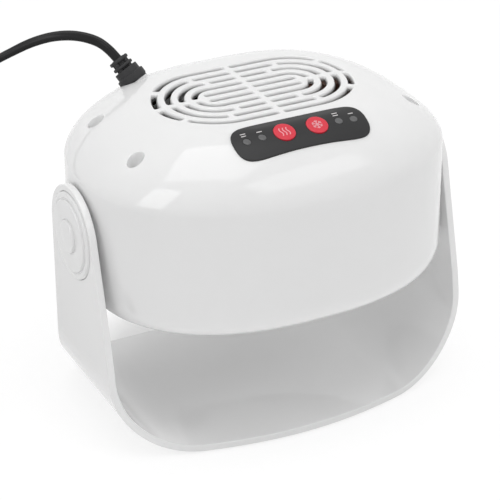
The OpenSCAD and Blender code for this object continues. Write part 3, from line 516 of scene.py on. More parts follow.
shell_white = material("shell_white", (0.87, 0.87, 0.87), 0.07, vary=0.008, rough_vary=0.02, bump=0.008,
                       subsurface=0.55)
stand_white = material("stand_white", (0.85, 0.85, 0.85), 0.05, vary=0.008, rough_vary=0.02, bump=0.008)
cap_white = material("cap_white", (0.84, 0.84, 0.84), 0.16, vary=0.008, rough_vary=0.03, bump=0.015)
panel_dark = material("panel_dark", (0.03, 0.03, 0.031), 0.34, vary=0.08, bump=0.03, specular=0.2)
button_crimson = material("button_crimson", (0.68, 0.02, 0.045), 0.34, vary=0.04)
print_pale = material("print_pale", (0.6, 0.58, 0.58), 0.5)
print_pink = material("print_pink", (0.8, 0.36, 0.4), 0.45)
lens_grey = material("lens_grey", (0.12, 0.12, 0.122), 0.22, bump=0.01, specular=0.3)
cord_black = material("cord_black", (0.006, 0.006, 0.0065), 0.3, vary=0.1, bump=0.06, specular=0.25)
boot_black = material("boot_black", (0.028, 0.028, 0.029), 0.55, vary=0.1, bump=0.06, specular=0.3)
foot_rubber = material("foot_rubber", (0.03, 0.03, 0.03), 0.7, bump=0.1)
nylon = material("nylon", (0.72, 0.72, 0.66), 0.4, subsurface=0.1)
steel = material("steel", (0.55, 0.55, 0.56), 0.3, metallic=1.0, rough_vary=0.1)
brass = material("brass", (0.72, 0.6, 0.38), 0.28, metallic=1.0)
bronze = material("bronze", (0.55, 0.38, 0.2), 0.4, metallic=1.0)
board_brown = material("board_brown", (0.34, 0.22, 0.17), 0.5, vary=0.12, bump=0.04)
fan_black = material("fan_black", (0.012, 0.012, 0.013), 0.45, vary=0.1)
mica = material("mica", (0.5, 0.4, 0.26), 0.45, vary=0.15, blotch=120)
alloy = material("alloy", (0.4, 0.36, 0.32), 0.4, metallic=1.0)
ceramic = material("ceramic", (0.75, 0.74, 0.68), 0.5)
capacitor_blue = material("capacitor_blue", (0.03, 0.04, 0.09), 0.3)
relay_brown = material("relay_brown", (0.30, 0.19, 0.15), 0.45, vary=0.08)
switch_black = material("switch_black", (0.02, 0.02, 0.022), 0.5)
led_resin = material("led_resin", (0.7, 0.7, 0.7), 0.15, transmission=0.4)
lead_brown = material("lead_brown", (0.05, 0.02, 0.008), 0.5)
lead_red = material("lead_red", (0.4, 0.02, 0.02), 0.5)
tie_black = material("tie_black", (0.02, 0.02, 0.02), 0.7, bump=0.2, grain=2500)

NODE_MATERIALS = (
    (steel, "board_screws power_screws pivot_screws pivot_washers shell_screws fan_screws"),
    (steel, "motor_can motor_shaft thermostat"), (nylon, "pivot_bush_left pivot_bush_right"),
    (board_brown, "control_board power_board"), (switch_black, "switch_bodies hot_plunger cool_plunger"),
    (fan_black, "fan_frame impeller"), (foot_rubber, "rubber_feet"), (shell_white, "bottom_cover"),
    (led_resin, "indicator_leds"), (capacitor_blue, "board_capacitor"), (relay_brown, "board_relay"),
    (bronze, "motor_bearing"), (mica, "heater_frame"), (alloy, "heater_wire"), (ceramic, "thermal_fuse"),
    (brass, "plug_pins"),
)
for finish, node_names in NODE_MATERIALS:
    for node_name in node_names.split():
        node_mesh = frame["nodes"][node_name].data
        node_mesh.materials.clear()
        node_mesh.materials.append(finish)


# ---- Cord, coil, tie and plug ----

CORD_W = 4.8
CORD_T = 3.2
CORD_STEPS = 6  # places between two points of the route
TWIST_SHARE = 0.36  # share of the free length that turns
BOOT_LEN = 12.6
BOOT_SINK = 0.9
boot_dir = np.array((-0.42, 0.52, 0.745))/np.linalg.norm((-0.42, 0.52, 0.745))
boot_xy = np.array(((-40.5, 44.6),))
boot_at = np.array((*boot_xy[0], height_over(boot_xy[:, 0], boot_xy[:, 1])[0]))
cord_start = boot_at + boot_dir*BOOT_LEN
CORD_ROUTE = [
    (-48.5, 54.5, 161), (-52, 58.5, 164), (-57.5, 62.5, 166), (-64, 66.5, 166.6), (-71.5, 70, 165.8),
    (-80, 73, 163.4), (-89, 75, 159.8), (-98, 77, 155.5), (-107, 78.5, 149.5), (-115.5, 79.5, 142),
    (-123, 80, 133), (-129, 80.5, 123), (-134.5, 80.5, 112), (-139.5, 80, 100.5), (-144.5, 79, 89),
    (-150, 77.5, 77.5), (-156, 75, 66), (-163, 71.5, 55), (-171, 67, 45), (-180, 61, 35.5),
    (-189, 53.5, 26.5), (-198, 44.5, 18), (-205.5, 34.5, 11), (-211.5, 24.5, 6), (-215, 16, 3),
]
COIL_AT = np.array((-180.0, 4.0))
COIL_R = 36.0
TURN_PITCH = 5.5
LAYER_PITCH = 3.8
LAYER_TURN = 0.5  # turns over which the coil climbs a layer
COIL_TURNS = 6.5
COIL_LOW = 0.8 + CORD_T/2
COIL_STEPS = 36  # places along each turn


def smooth(t):
    t = min(max(t, 0.0), 1.0)
    return t*t*(3 - 2*t)


def spline(points, steps):
    """A smooth curve through the points."""
    p = [np.array(q, float) for q in points]
    made, last = [], len(p) - 1
    for i in range(last):
        a, b, c, d = p[max(i - 1, 0)], p[i], p[i + 1], p[min(i + 2, last)]
        for t in np.arange(steps)/steps:
            made.append(0.5*(2*b + (c - a)*t + (2*a - 5*b + 4*c - d)*t*t + (3*b - a - 3*c + d)*t**3))
    return made + [p[-1]]


def coil_point(t):
    """Place on the coil after t turns: in to the middle, up a layer, and out again."""
    middle = COIL_TURNS/2
    r = COIL_R - TURN_PITCH*(t if t < middle else COIL_TURNS - t)
    f = math.pi + 2*math.pi*t
    return np.array((COIL_AT[0] + r*math.cos(f), COIL_AT[1] + r*math.sin(f),
                     COIL_LOW + LAYER_PITCH*smooth((t - middle)/LAYER_TURN + 0.5)))


def twin_flex():
    """Section of the flat cord: two round cores side by side, with a groove between them."""
    core_r, core_at = CORD_T/2, CORD_W/2 - CORD_T/2
    made = []
    for f in angles(20, 0.5):
        c, s = abs(math.cos(f)), math.sin(f)
        reach = core_at*c + math.sqrt(max(0, core_r**2 - (core_at*s)**2))
        made.append((math.copysign(reach*c, math.cos(f)), reach*s))
    return made


def tube(name, path, section, body, finish, slot, twist=lambda share: 0.0, ends={}):
    """A tube along a path; twist turns the section up from level, in radians, by the share of the path, and ends
    gives directions at places of the path that don't follow it."""
    form, rows, last = Form(), [], len(path) - 1
    for i, p in enumerate(path):
        ahead = ends.get(i, path[min(i + 1, last)] - path[max(i - 1, 0)])
        side, up, _ = axes_of(ahead)
        f = twist(i/last)
        wide = up*math.sin(f) - side*math.cos(f)
        thin = np.cross(ahead/np.linalg.norm(ahead), wide)
        rows.append(form.row([p + wide*a + thin*b for a, b in section]))
    form.bands(rows)
    form.lid(rows[0], flip=True)
    form.lid(rows[-1])
    return form.build(name, body, finish, slot)


coil_in = coil_point(0) + np.array((0, CORD_W, 0))
coil_end = coil_point(COIL_TURNS) + np.array((0, CORD_W, 0))


def make_cord():
    """The flat cord, on edge at its exit and then slowly over to flat."""
    free = spline([cord_start] + CORD_ROUTE + [coil_in], CORD_STEPS)
    turns = [coil_point(i/COIL_STEPS) for i in range(int(COIL_TURNS*COIL_STEPS) + 1)]
    path = free + turns + [coil_end]
    share = len(free)/len(path)
    piece = tube("mains_cord", path, twin_flex(), None, cord_black, "cord_black",
                 lambda t: math.pi/2*(1 - smooth(t/share/TWIST_SHARE)),
                 {0: boot_dir, len(path) - 1: np.array((0.0, 1, 0))})
    length = sum(np.linalg.norm(b - a) for a, b in zip(path, path[1:]))
    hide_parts("power_cord", "cord_coil")
    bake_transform(piece)
    return piece, path, length*MM


def make_tie():
    """A band round the coil's turns, flat where it lies on the table."""
    angle, half_w, band_t, gap, bend, edge = math.radians(250), 2.0, 0.6, 0.2, 1.6, 0.15
    r_in = COIL_R - TURN_PITCH*COIL_TURNS/2 - CORD_W/2 - gap - band_t
    r_out = COIL_R + TURN_PITCH/2 + CORD_W/2 + gap + band_t
    tall = LAYER_PITCH + CORD_T + 2*gap + 2*band_t
    out, across = (math.cos(angle), math.sin(angle)), (-math.sin(angle), math.cos(angle))
    centres = [(r_in + bend, bend), (r_out - bend, bend), (r_out - bend, tall - bend), (r_in + bend, tall - bend)]
    outline = np.array([(r + bend*math.cos(f + math.pi + k*math.pi/2), z + bend*math.sin(f + math.pi + k*math.pi/2))
                        for k, (r, z) in enumerate(centres) for f in np.linspace(0, math.pi/2, 6)])
    form, rows = Form(), []
    for e, y in [(0, -half_w + edge), (0, half_w - edge), (edge, half_w), (band_t - edge, half_w),
                 (band_t, half_w - edge), (band_t, -half_w + edge), (band_t - edge, -half_w), (edge, -half_w)]:
        rows.append(form.row([(COIL_AT[0] + out[0]*r + across[0]*y, COIL_AT[1] + out[1]*r + across[1]*y, z)
                              for r, z in inset(outline, e)]))
    form.bands(rows + rows[:1], flip=True)
    piece = form.build("coil_tie", "stand", tie_black, "tie_black")
    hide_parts("cord_tie")
    return piece


def plug_stations():
    """Half width, half thickness, place along the plug and squareness of each ring."""
    stations = [(2.2, 2.0, 0.0, 2.0)]
    for i in range(4):
        y = 1.2 + 2.6*i
        r = 2.5 + 0.25*i
        stations += [(r, r*0.9, y, 2.0), (r, r*0.9, y + 1.5, 2.0), (r - 0.5, r*0.9 - 0.5, y + 1.7, 2.0),
                     (r - 0.45, r*0.9 - 0.45, y + 2.4, 2.0)]
    stations += [(3.6, 3.3, 12.2, 2.0), (5.4, 4.3, 13.6, 2.2), (7.6, 5.3, 17, 2.6), (9.6, 5.9, 20.5, 3.0),
                 (10.9, 6.1, 24.5, 3.4)]
    for y in (26, 29, 32):
        stations += [(10.95, 6.15, y, 3.6), (10.45, 5.7, y + 0.5, 3.6), (10.45, 5.7, y + 1.5, 3.6),
                     (10.95, 6.15, y + 2, 3.6)]
    end = 44.0
    return stations + [(11, 6.2, 36, 3.8), (11, 6.2, end - 1, 3.8), (10.7, 5.9, end - 0.3, 3.8), (10, 5.2, end, 3.8)]


def make_plug():
    """A moulded plug with a ribbed neck and grip grooves across its body."""
    form, rows = Form(), []
    for half_w, half_t, y, power in plug_stations():
        flat = superellipse(half_w, half_t, power, angles(40))
        rows.append(form.row([(coil_end[0] + a, coil_end[1] + y, coil_end[2] + b) for a, b in flat]))
    form.bands(rows, flip=True)
    form.lid(rows[0])
    form.lid(rows[-1], flip=True)
    piece = form.build("mains_plug", "stand", boot_black, "cord_black")
    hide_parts("plug_body")
    return piece


cord, cord_path, cord_length = make_cord()
coil_tie = make_tie()
plug = make_plug()


# ---- Head shell ----

ROUND_IN = 6.8  # the lower edge: how far it draws in, and over what height
ROUND_UP = 11.0
SLOT_EDGE = 0.95
SLOT_DRAFT = 0.65  # how much narrower a slot is at the shell's inner face, on each side
LEDGE_IN = 9.4  # the bottom cover's ledge, and the rebate round the cover
REBATE_IN = 7.4
LEDGE_Z = BASE_Z + 1.6
LEDGE_TOP = LEDGE_Z + 2
REBATE_EDGE = 0.3
RECESS_AT = (HEAD_A - 18.3, 22.2)  # the screws' recesses
RECESS_R = 3.9
RECESS_RIM = 0.3
RECESS_Z = PIVOT_Z + 33.5
RECESS_STEPS = 40
CUP_R = RECESS_R + 1.6
CUP_LOW = RECESS_Z - 3
SCREW_HOLE_R = 1.65
BOOT_SEAT_R = 6.6  # the hole for the strain relief, and the narrower neck in it
BOOT_NECK_R = 5.05
BOOT_NECK_L = 5
EDGE_DEGREES = 22  # where the shoulder's rings give way to the filled plan with its holes
PRESS = -np.array(joint("hot_press")["axis"])
PRESS = PRESS/np.linalg.norm(PRESS)


def control_at(x):
    return np.array((x, BUTTON_Y, height_over(np.array([x]), np.array([BUTTON_Y]))[0]))


def recess_rows(centre):
    """A screw's recess, the hole in its floor and the cup round it inside the shell."""
    rows = [on_head(circle(RECESS_R + e, RECESS_STEPS, centre), lift=-d)[0] for e, d in fillet(RECESS_RIM)]
    levels = ((RECESS_R, RECESS_Z), (SCREW_HOLE_R, RECESS_Z), (SCREW_HOLE_R, CUP_LOW), (CUP_R, CUP_LOW))
    rows += [at_height(circle(r, RECESS_STEPS, centre), z) for r, z in levels]
    return rows + [on_head(circle(CUP_R, RECESS_STEPS, centre), SHELL_WALL)[0]]


def bore_rows(at, axis, r, between=(), n=48):
    """A slanted bore through the shell, with the flat rings between its ends given as (radius, height)."""
    return [slanted_ring(at, axis, r, n=n), *[flat_ring(at, axis, ring_r, height, n) for ring_r, height in between],
            slanted_ring(at, axis, r, wall=SHELL_WALL, n=n)]


def shell_holes():
    """Each hole in the shell's top as rows of points, from its edge on the outer face to the inner face."""
    holes = []
    for outline in grille_slots():
        rows = [on_head(outline(e), lift=-d)[0] for e, d in fillet(SLOT_EDGE)]
        holes.append(rows + [on_head(outline(-SLOT_DRAFT), SHELL_WALL)[0]])
    holes += [recess_rows((sx*RECESS_AT[0], sy*RECESS_AT[1])) for sx in (-1, 1) for sy in (-1, 1)]
    holes += [bore_rows(control_at(x), PRESS, BUTTON_BORE) for x in (-BUTTON_X, BUTTON_X)]
    holes += [bore_rows(control_at(x), PRESS, LIGHT_R, n=20) for x in (*LIGHT_X, *[-v for v in LIGHT_X])]
    neck_low = -BOOT_SINK - BOOT_NECK_L
    neck = [(BOOT_SEAT_R, -BOOT_SINK), (BOOT_NECK_R, -BOOT_SINK), (BOOT_NECK_R, neck_low), (BOOT_SEAT_R, neck_low)]
    holes.append(bore_rows(boot_at, boot_dir, BOOT_SEAT_R, neck))
    return holes


def shell_inside_points(wall):
    rings = [shoulder_ring(d, wall)[::3, :2] for d in (26, 30, 34, 38, 43, 48, 54, 60, 67, 75, 90)]
    flat = shoulder_ring(90, wall)[::6, :2]
    return np.concatenate(rings + [flat*share for share in (0.9, 0.78, 0.66, 0.54, 0.42, 0.3, 0.18)])


def make_head_shell():
    form = Form()
    holes = shell_holes()
    outer_rings = add_fill(form, shoulder_ring(EDGE_DEGREES)[:, :2], [h[0][:, :2] for h in holes],
                           shell_inside_points(0), on_head)
    inner_rings = add_fill(form, shoulder_ring(EDGE_DEGREES, SHELL_WALL)[:, :2], [h[-1][:, :2] for h in holes],
                           shell_inside_points(SHELL_WALL), lambda plan: on_head(plan, SHELL_WALL), True, True)
    for rows, top, low in zip(holes, outer_rings[1:], inner_rings[1:]):
        form.bands([top] + [form.row(r) for r in rows[1:-1]] + [low])
    down = [shoulder_ring(d, SHELL_WALL) for d in (16, 10, 5, 0)]
    down += [wall_ring(SHELL_WALL, z) for z in (112, 98, 86, LEDGE_TOP + LEDGE_IN - SHELL_WALL)]
    down += [wall_ring(LEDGE_IN, LEDGE_TOP), wall_ring(LEDGE_IN, LEDGE_Z), wall_ring(REBATE_IN, LEDGE_Z),
             wall_ring(REBATE_IN, BASE_Z + REBATE_EDGE), wall_ring(REBATE_IN - REBATE_EDGE, BASE_Z)]
    f = np.radians(np.linspace(0, 90, 10))
    down += [wall_ring(ROUND_IN*(1 - math.sin(t)), BASE_Z + ROUND_UP*(1 - math.cos(t))) for t in f]
    down += [wall_ring(0, z) for z in (82, 92, 102, 112, 120)]
    down += [shoulder_ring(d) for d in (0, 3, 6, 9, 12, 15, 18.5)]
    form.bands([inner_rings[0]] + [form.row(r) for r in down] + [outer_rings[0]])
    piece = form.build("head_casing", "head", shell_white, "white_abs")
    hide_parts("head_shell")


make_head_shell()


# ---- Stand ----

FLAT_HALF = STAND_HALF - CORNER_R
TURN_L = CORNER_R*math.pi/2
PIVOT_H = PIVOT_Z - FOOT_OUT
STAND_EDGE = 0.5
BOW_AT = 60  # the front edge bows back by this at x = 60, less far out
FLOOR_BOW = 9.9
BOW_LESS = 0.7
REAR_SWEEP = 35.0  # the rear edge's sweep from the floor in to the arms
REAR_POWER = 1.8
ARM_EASE = 16.0  # the length over which an arm's front edge starts to lean back
CAP_R = 20.4
CAP_RECESS = 1.4
CAP_R_GAP = CAP_R + 0.12
RECESS_EDGE = 0.6
BUSH_R = 6.0
HUB_STEPS = 96
FOOT_AT = (44.0, 38.0)
FOOT_R = 5.05
FOOT_POCKET = 1.0
FOOT_STEPS = 32


def front_edge(x):
    return -(FLOOR_FRONT - FLOOR_BOW*(x/BOW_AT)**2 + BOW_LESS*(x/BOW_AT)**4)


def eased(rise):
    """A ramp that starts at 0, softened over ARM_EASE on each side of its start."""
    return np.clip(rise + ARM_EASE, 0, 2*ARM_EASE)**2/(4*ARM_EASE) + max(0, rise - ARM_EASE)


def along_u(height):
    """Length along the U at a height of the arm above the stand's underside."""
    return FLAT_HALF + TURN_L + height - CORNER_R


def on_stand(plan, depth=0.0):
    """Places on the U from (length along it, y) at a depth below its outer face, and the outer face's normals."""
    s, y = plan[:, 0], plan[:, 1]
    side, reach = np.sign(s), np.abs(s)
    a = np.clip((reach - FLAT_HALF)/CORNER_R, 0, math.pi/2)
    up = np.maximum(reach - FLAT_HALF - TURN_L, 0)
    r = CORNER_R - depth
    x = side*(np.minimum(reach, FLAT_HALF) + r*np.sin(a))
    z = FOOT_OUT + CORNER_R - r*np.cos(a) + up
    return np.stack([x, y, z], -1), np.stack([side*np.sin(a), np.zeros(len(s)), -np.cos(a)], -1)


def stand_outline():
    """The unrolled U's outline: along the front from the middle, up an arm, round it and back, then its mirror."""
    half = [(s, front_edge(s)) for s in np.linspace(0, FLAT_HALF, 22)]
    corner = np.array((front_edge(STAND_HALF), CORNER_R))
    middle = np.array((ARM_SHIFT, PIVOT_H))
    reach = corner - middle
    start = math.atan2(reach[1], reach[0]) + 2*math.pi - math.acos(ARM_R/np.linalg.norm(reach))
    touch = middle + ARM_R*np.array((math.cos(start), math.sin(start)))
    lean = (touch[0] - corner[0])/(touch[1] - corner[1])
    for f in np.radians(np.arange(3, 91, 3)):
        y = front_edge(FLAT_HALF + CORNER_R*math.sin(f)) + lean*eased(CORNER_R*(f - math.pi/2))
        half.append((FLAT_HALF + CORNER_R*f, y))
    for h in CORNER_R + np.linspace(0, ARM_EASE, 9)[1:]:
        half.append((along_u(h), corner[0] + lean*eased(h - CORNER_R)))
    for f in np.linspace(start, 0, 64):
        half.append((along_u(middle[1] + ARM_R*math.sin(f)), middle[0] + ARM_R*math.cos(f)))
    rear = ARM_SHIFT + ARM_R
    for h in np.linspace(PIVOT_H, CORNER_R, 22)[1:]:
        half.append((along_u(h), rear))
    for f in np.radians(np.arange(87, 0, -3)):
        half.append((FLAT_HALF + CORNER_R*f, min(FLOOR_REAR, rear + REAR_SWEEP*math.cos(f)**REAR_POWER)))
    half += [(s, FLOOR_REAR) for s in np.linspace(FLAT_HALF, 0, 22)]
    half = np.array(half)
    return np.concatenate([half, (half*(-1, 1))[-2:0:-1]])


def make_stand():
    form, outline = Form(), stand_outline()
    arm_at = along_u(PIVOT_H)
    columns = list(np.arange(0, FLAT_HALF, 5.7)) + [FLAT_HALF + CORNER_R*math.radians(f) for f in range(0, 91, 3)]
    columns += list(np.arange(FLAT_HALF + TURN_L + 4, arm_at + ARM_R, 4.5))
    inside = np.array([(sign*s, y) for s in columns for y in np.arange(-56, 56, 6.5) for sign in (-1, 1)])
    hubs = [(sign*arm_at, 0.0) for sign in (-1, 1)]
    feet = [(sx*FOOT_AT[0], sy*FOOT_AT[1]) for sx in (-1, 1) for sy in (-1, 1)]
    outer_holes = [circle(RECESS_EDGE + CAP_R_GAP, HUB_STEPS, c) for c in hubs]
    outer_holes += [circle(FOOT_R, FOOT_STEPS, c) for c in feet]
    inner_holes = [circle(BUSH_R, HUB_STEPS, c) for c in hubs]
    border = inset(outline, STAND_EDGE)
    outer_rings = add_fill(form, border, outer_holes, inside, on_stand, flip=True)
    inner_rings = add_fill(form, border, inner_holes, inside, lambda plan: on_stand(plan, STAND_WALL), turn=True)
    edge = fillet(STAND_EDGE, 5)
    steps = edge[1:] + [(e, STAND_WALL - d) for e, d in edge[:0:-1]]
    sides = [form.row(on_stand(inset(outline, e), d)[0]) for e, d in steps]
    form.bands([outer_rings[0]] + sides + [inner_rings[0]])
    for k, c in enumerate(hubs):
        rows = [(CAP_R_GAP + e, d) for e, d in fillet(RECESS_EDGE)[1:]]
        rows += [(CAP_R_GAP, CAP_RECESS), (BUSH_R, CAP_RECESS)]
        walls = [form.row(on_stand(circle(r, HUB_STEPS, c), d)[0]) for r, d in rows]
        form.bands([outer_rings[1 + k]] + walls + [inner_rings[1 + k]], flip=True)
    for k, c in enumerate(feet):
        floor = form.row(on_stand(circle(FOOT_R, FOOT_STEPS, c), FOOT_POCKET)[0])
        form.band(floor, outer_rings[3 + k])
        form.lid(floor, flip=True)
    piece = form.build("u_stand", "stand", stand_white, "white_abs")
    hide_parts("stand_frame")


make_stand()


def make_hub_cap(side):
    """A stepped disc, hollow behind its middle."""
    seat, hollow = STAND_HALF - CAP_RECESS, STAND_HALF + 0.4
    rim, groove, step, disc = STAND_HALF + 0.8, STAND_HALF + 0.5, STAND_HALF + 1.7, STAND_HALF + 2.8
    inner_r, seat_r, wall, notch = 7.0, 9.0, 1.1, 0.4
    corners = [(seat_r, seat), (CAP_R, seat), (CAP_R, rim), (17.8, rim + 0.15), (17.4, groove), (17.0, groove),
               (16.8, step), (8.3, step), (8.1, step - notch), (7.8, step - notch), (7.6, disc), (0, disc)]
    profile = [(0, disc - wall), (inner_r, disc - wall), (inner_r, hollow), (seat_r, hollow)]
    profile += rounded(corners, [0, 0, 1.0, 0.5, 0.1, 0.1, 0.4, 0.2, 0.1, 0.1, 0.5, 0])
    form = Form()
    lathe(form, profile, (0, 0, PIVOT_Z), (side, 0, 0), HUB_STEPS)
    name = "hub_disc_right" if side > 0 else "hub_disc_left"
    piece = form.build(name, "stand", cap_white, "hub_white")
    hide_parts("hub_cap_right" if side > 0 else "hub_cap_left")


for side in (-1, 1):
    make_hub_cap(side)


# ---- Controls ----

PANEL_ENDS = (7, 2.6)  # squareness of the panel's ends along it and across it
CAP_TOP = PANEL_T + 0.12  # tops of the buttons and the lights above the shell
LENS_TOP = PANEL_T + 0.1


def panel_outline(n=64):
    x = PANEL_W/2*np.sin(math.pi/2*np.linspace(-1, 1, n + 1))
    across = np.maximum(0, 1 - np.abs(2*x/PANEL_W)**PANEL_ENDS[0])**(1/PANEL_ENDS[1])
    half = np.maximum(0.4, (PANEL_REAR - PANEL_FRONT)/2*across)
    middle = (PANEL_REAR + PANEL_FRONT)/2
    front = middle - half + PANEL_ARCH*(1 - (2*x/PANEL_W)**2)
    return np.concatenate([np.stack([x, front], -1), np.stack([x, middle + half], -1)[::-1]])


def make_panel():
    form, outline, edge, rim, low = Form(), panel_outline(), 0.3, 0.15, 0.02
    spots = [(control_at(x), CAP_SHOWN_R + 0.15, 48) for x in (-BUTTON_X, BUTTON_X)]
    spots += [(control_at(sx*x), LENS_R + 0.05, 24) for sx in (-1, 1) for x in LIGHT_X]
    tops = [slanted_ring(at, PRESS, r + rim, lift=PANEL_T, n=n)[:, :2] for at, r, n in spots]
    lows = [slanted_ring(at, PRESS, r, lift=low, n=n)[:, :2] for at, r, n in spots]
    inside = np.array([(x, y) for x in np.arange(-31, 31.1, 2.2) for y in np.arange(-51, -34, 2.2)])
    top_rings = add_fill(form, inset(outline, edge), tops, inside, lambda plan: on_head(plan, lift=PANEL_T))
    base_rings = add_fill(form, outline, lows, inside, lambda plan: on_head(plan, lift=low), True, True)
    rows = [form.row(on_head(inset(outline, e), lift=PANEL_T - d)[0]) for e, d in fillet(edge)[1:]]
    form.bands([base_rings[0]] + rows[::-1] + [top_rings[0]])
    for (at, r, n), a, b in zip(spots, top_rings[1:], base_rings[1:]):
        form.bands([a, form.row(slanted_ring(at, PRESS, r, lift=PANEL_T - rim, n=n)), b])
    piece = form.build("panel_film", "head", panel_dark, "panel_grey")
    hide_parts("control_panel")


make_panel()


def make_button(name, node, x):
    form, edge, flange_r, shoulder = Form(), 0.3, 7, -0.3
    profile = [(0, -5.7), (2.2, -5.7), (2.2, -4.5), (flange_r, -4.5), (flange_r, -3.3), (BUTTON_R, -3.3),
               (BUTTON_R, shoulder), (CAP_SHOWN_R, shoulder), (CAP_SHOWN_R, CAP_TOP - edge)]
    profile += [(CAP_SHOWN_R - edge*(1 - math.cos(f)), CAP_TOP - edge*(1 - math.sin(f)))
                for f in np.linspace(0, math.pi/2, 7)[1:]]
    profile += [(3.6, CAP_TOP + 0.05), (1.8, CAP_TOP + 0.08), (0, CAP_TOP + 0.09)]
    lathe(form, profile, control_at(x), PRESS)
    piece = form.build(name, node, button_crimson, "button_red")
    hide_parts(node)


def add_stroke(form, origin, line, width, low, high):
    """A printed line, as a thin raised ribbon in the plane square to the buttons' travel."""
    u, v, w = axes_of(PRESS)
    line = np.array(line, float)
    ahead = np.gradient(line, axis=0)
    ahead /= np.linalg.norm(ahead, axis=1)[:, None]
    off = np.stack([-ahead[:, 1], ahead[:, 0]], -1)*width/2
    rows = []
    for left, right in zip(line + off, line - off):
        corners = [(left, low), (right, low), (right, high), (left, high)]
        rows.append(form.row([origin + u*p[0] + v*p[1] + w*z for p, z in corners]))
    form.bands(rows)
    form.lid(rows[0])
    form.lid(rows[-1])


def make_button_signs():
    """Plain signs for warm air, three waves, and for cold air, a six-armed star."""
    stroke = (0.5, CAP_TOP - 0.1, CAP_TOP + 0.11)
    wave_half, wave_swing = 2.3, 0.45
    waves = Form()
    for shift in (-1.7, 0, 1.7):
        line = [(shift + wave_swing*math.sin(f), wave_half*(f/math.pi - 1)) for f in np.linspace(0, 2*math.pi, 19)]
        add_stroke(waves, control_at(-BUTTON_X), line, *stroke)
    waves.build("warm_sign", "hot_button", print_pink, "white_abs")
    star, star_at = Form(), control_at(BUTTON_X)
    arm_l, barb_from, barb_out = 2.5, 1.35, 0.75
    for k in range(3):
        arm = np.array((math.cos(math.pi/2 + k*math.pi/3), math.sin(math.pi/2 + k*math.pi/3)))
        side = np.array((-arm[1], arm[0]))
        add_stroke(star, star_at, [-arm_l*arm, arm_l*arm], *stroke)
        for end in (-1, 1):
            tip = 2.3*end*arm
            for lean in (-1, 1):
                barb = [barb_from*end*arm, tip*0.95 + barb_out*lean*side]
                add_stroke(star, star_at, barb, stroke[0]*0.8, *stroke[1:])
    star.build("cold_sign", "cool_button", print_pink, "white_abs")


make_button("hot_push", "hot_button", -BUTTON_X)
make_button("cool_push", "cool_button", BUTTON_X)
make_button_signs()


def make_light_marks():
    """Short bars behind the lights: two for full power, one for half."""
    form = Form()
    half, width, first, pitch, level = 1.3, 0.5, 3.4, 1.3, PANEL_T*0.94
    for x, bars in ((-LIGHT_X[1], 2), (-LIGHT_X[0], 1), (LIGHT_X[0], 2), (LIGHT_X[1], 1)):
        for k in range(bars):
            add_stroke(form, control_at(x), [(-half, first + pitch*k), (half, first + pitch*k)], width,
                       level - 0.15, level + 0.03)
    form.build("power_marks", "head", print_pale, "white_abs")


make_light_marks()


def make_lenses():
    form, low, pin_r, shoulder, edge = Form(), -SHELL_WALL - 1.2, LIGHT_R - 0.05, -0.5, 0.25
    profile = [(0, low), (pin_r, low), (pin_r, shoulder), (LENS_R, shoulder), (LENS_R, LENS_TOP - edge)]
    profile += [(LENS_R*math.cos(f), LENS_TOP - edge + edge*math.sin(f)) for f in np.linspace(0, math.pi/2, 6)[1:-1]]
    for sx in (-1, 1):
        for x in LIGHT_X:
            lathe(form, profile + [(0, LENS_TOP)], control_at(sx*x), PRESS, 32)
    piece = form.build("light_lenses", "head", lens_grey, "lens_grey")
    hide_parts("indicator_lenses")


make_lenses()


# ---- Strain relief ----

def add_bar(form, along_x, half_l, half_w, low, high, edge=0.3):
    """A bar across the strain relief's axis, with rounded upright edges."""
    u, v, w = axes_of(boot_dir)
    if not along_x:
        u, v = v, -u
    loop = superellipse(half_l, half_w, 8, angles(32, 0.5))
    rows = []
    for e, z in [(edge, low), (0, low + edge), (0, high - edge), (edge, high)]:
        shrink = loop*((half_l - e)/half_l, (half_w - e)/half_w)
        rows.append(form.row([boot_at + u*a + v*b + w*z for a, b in shrink]))
    form.bands(rows)
    form.lid(rows[0], flip=True)
    form.lid(rows[-1])


def make_boot():
    """A moulded grommet: its part in the shell's hole, a flange, a body and two ribs held by bars."""
    form = Form()
    foot_r, neck_r, sunk_r, flange_r, body_r, core_r = 6.2, 5, 6.5, 6.9, 5.9, 3.4
    corners = [(0, -8.1), (foot_r, -8.1), (foot_r, -5.95), (neck_r, -5.95), (neck_r, -BOOT_SINK),
               (sunk_r, -BOOT_SINK), (sunk_r, -0.1), (flange_r, -0.1), (flange_r, 3.2), (body_r, 3.5), (body_r, 6.6),
               (core_r, 6.8), (3.2, BOOT_LEN), (0, BOOT_LEN)]
    lathe(form, rounded(corners, [0, 0.3, 0, 0, 0, 0, 0, 0.2, 0.5, 0.3, 0.5, 0.2, 0.4, 0]), boot_at, boot_dir)
    for low, high, r in ((7.5, 9.2, 5.1), (10.6, 12.4, 4.9)):
        lathe(form, rounded([(0, low), (r, low), (r, high), (0, high)], [0, 0.8, 0.8, 0]), boot_at, boot_dir)
    for along_x in (True, False):
        add_bar(form, along_x, 4.6, 1.3, 6.0, 11.4)
    piece = form.build("strain_relief", "head", boot_black, "cord_black")
    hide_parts("cord_boot")


make_boot()


# ---- Leads inside the head ----

RING_TOP = 133.5  # top of the fan's ring, of the power board and of the motor
POWER_Z = 137.5
MOTOR_TOP = 143.9
LEAD_STEPS = 8


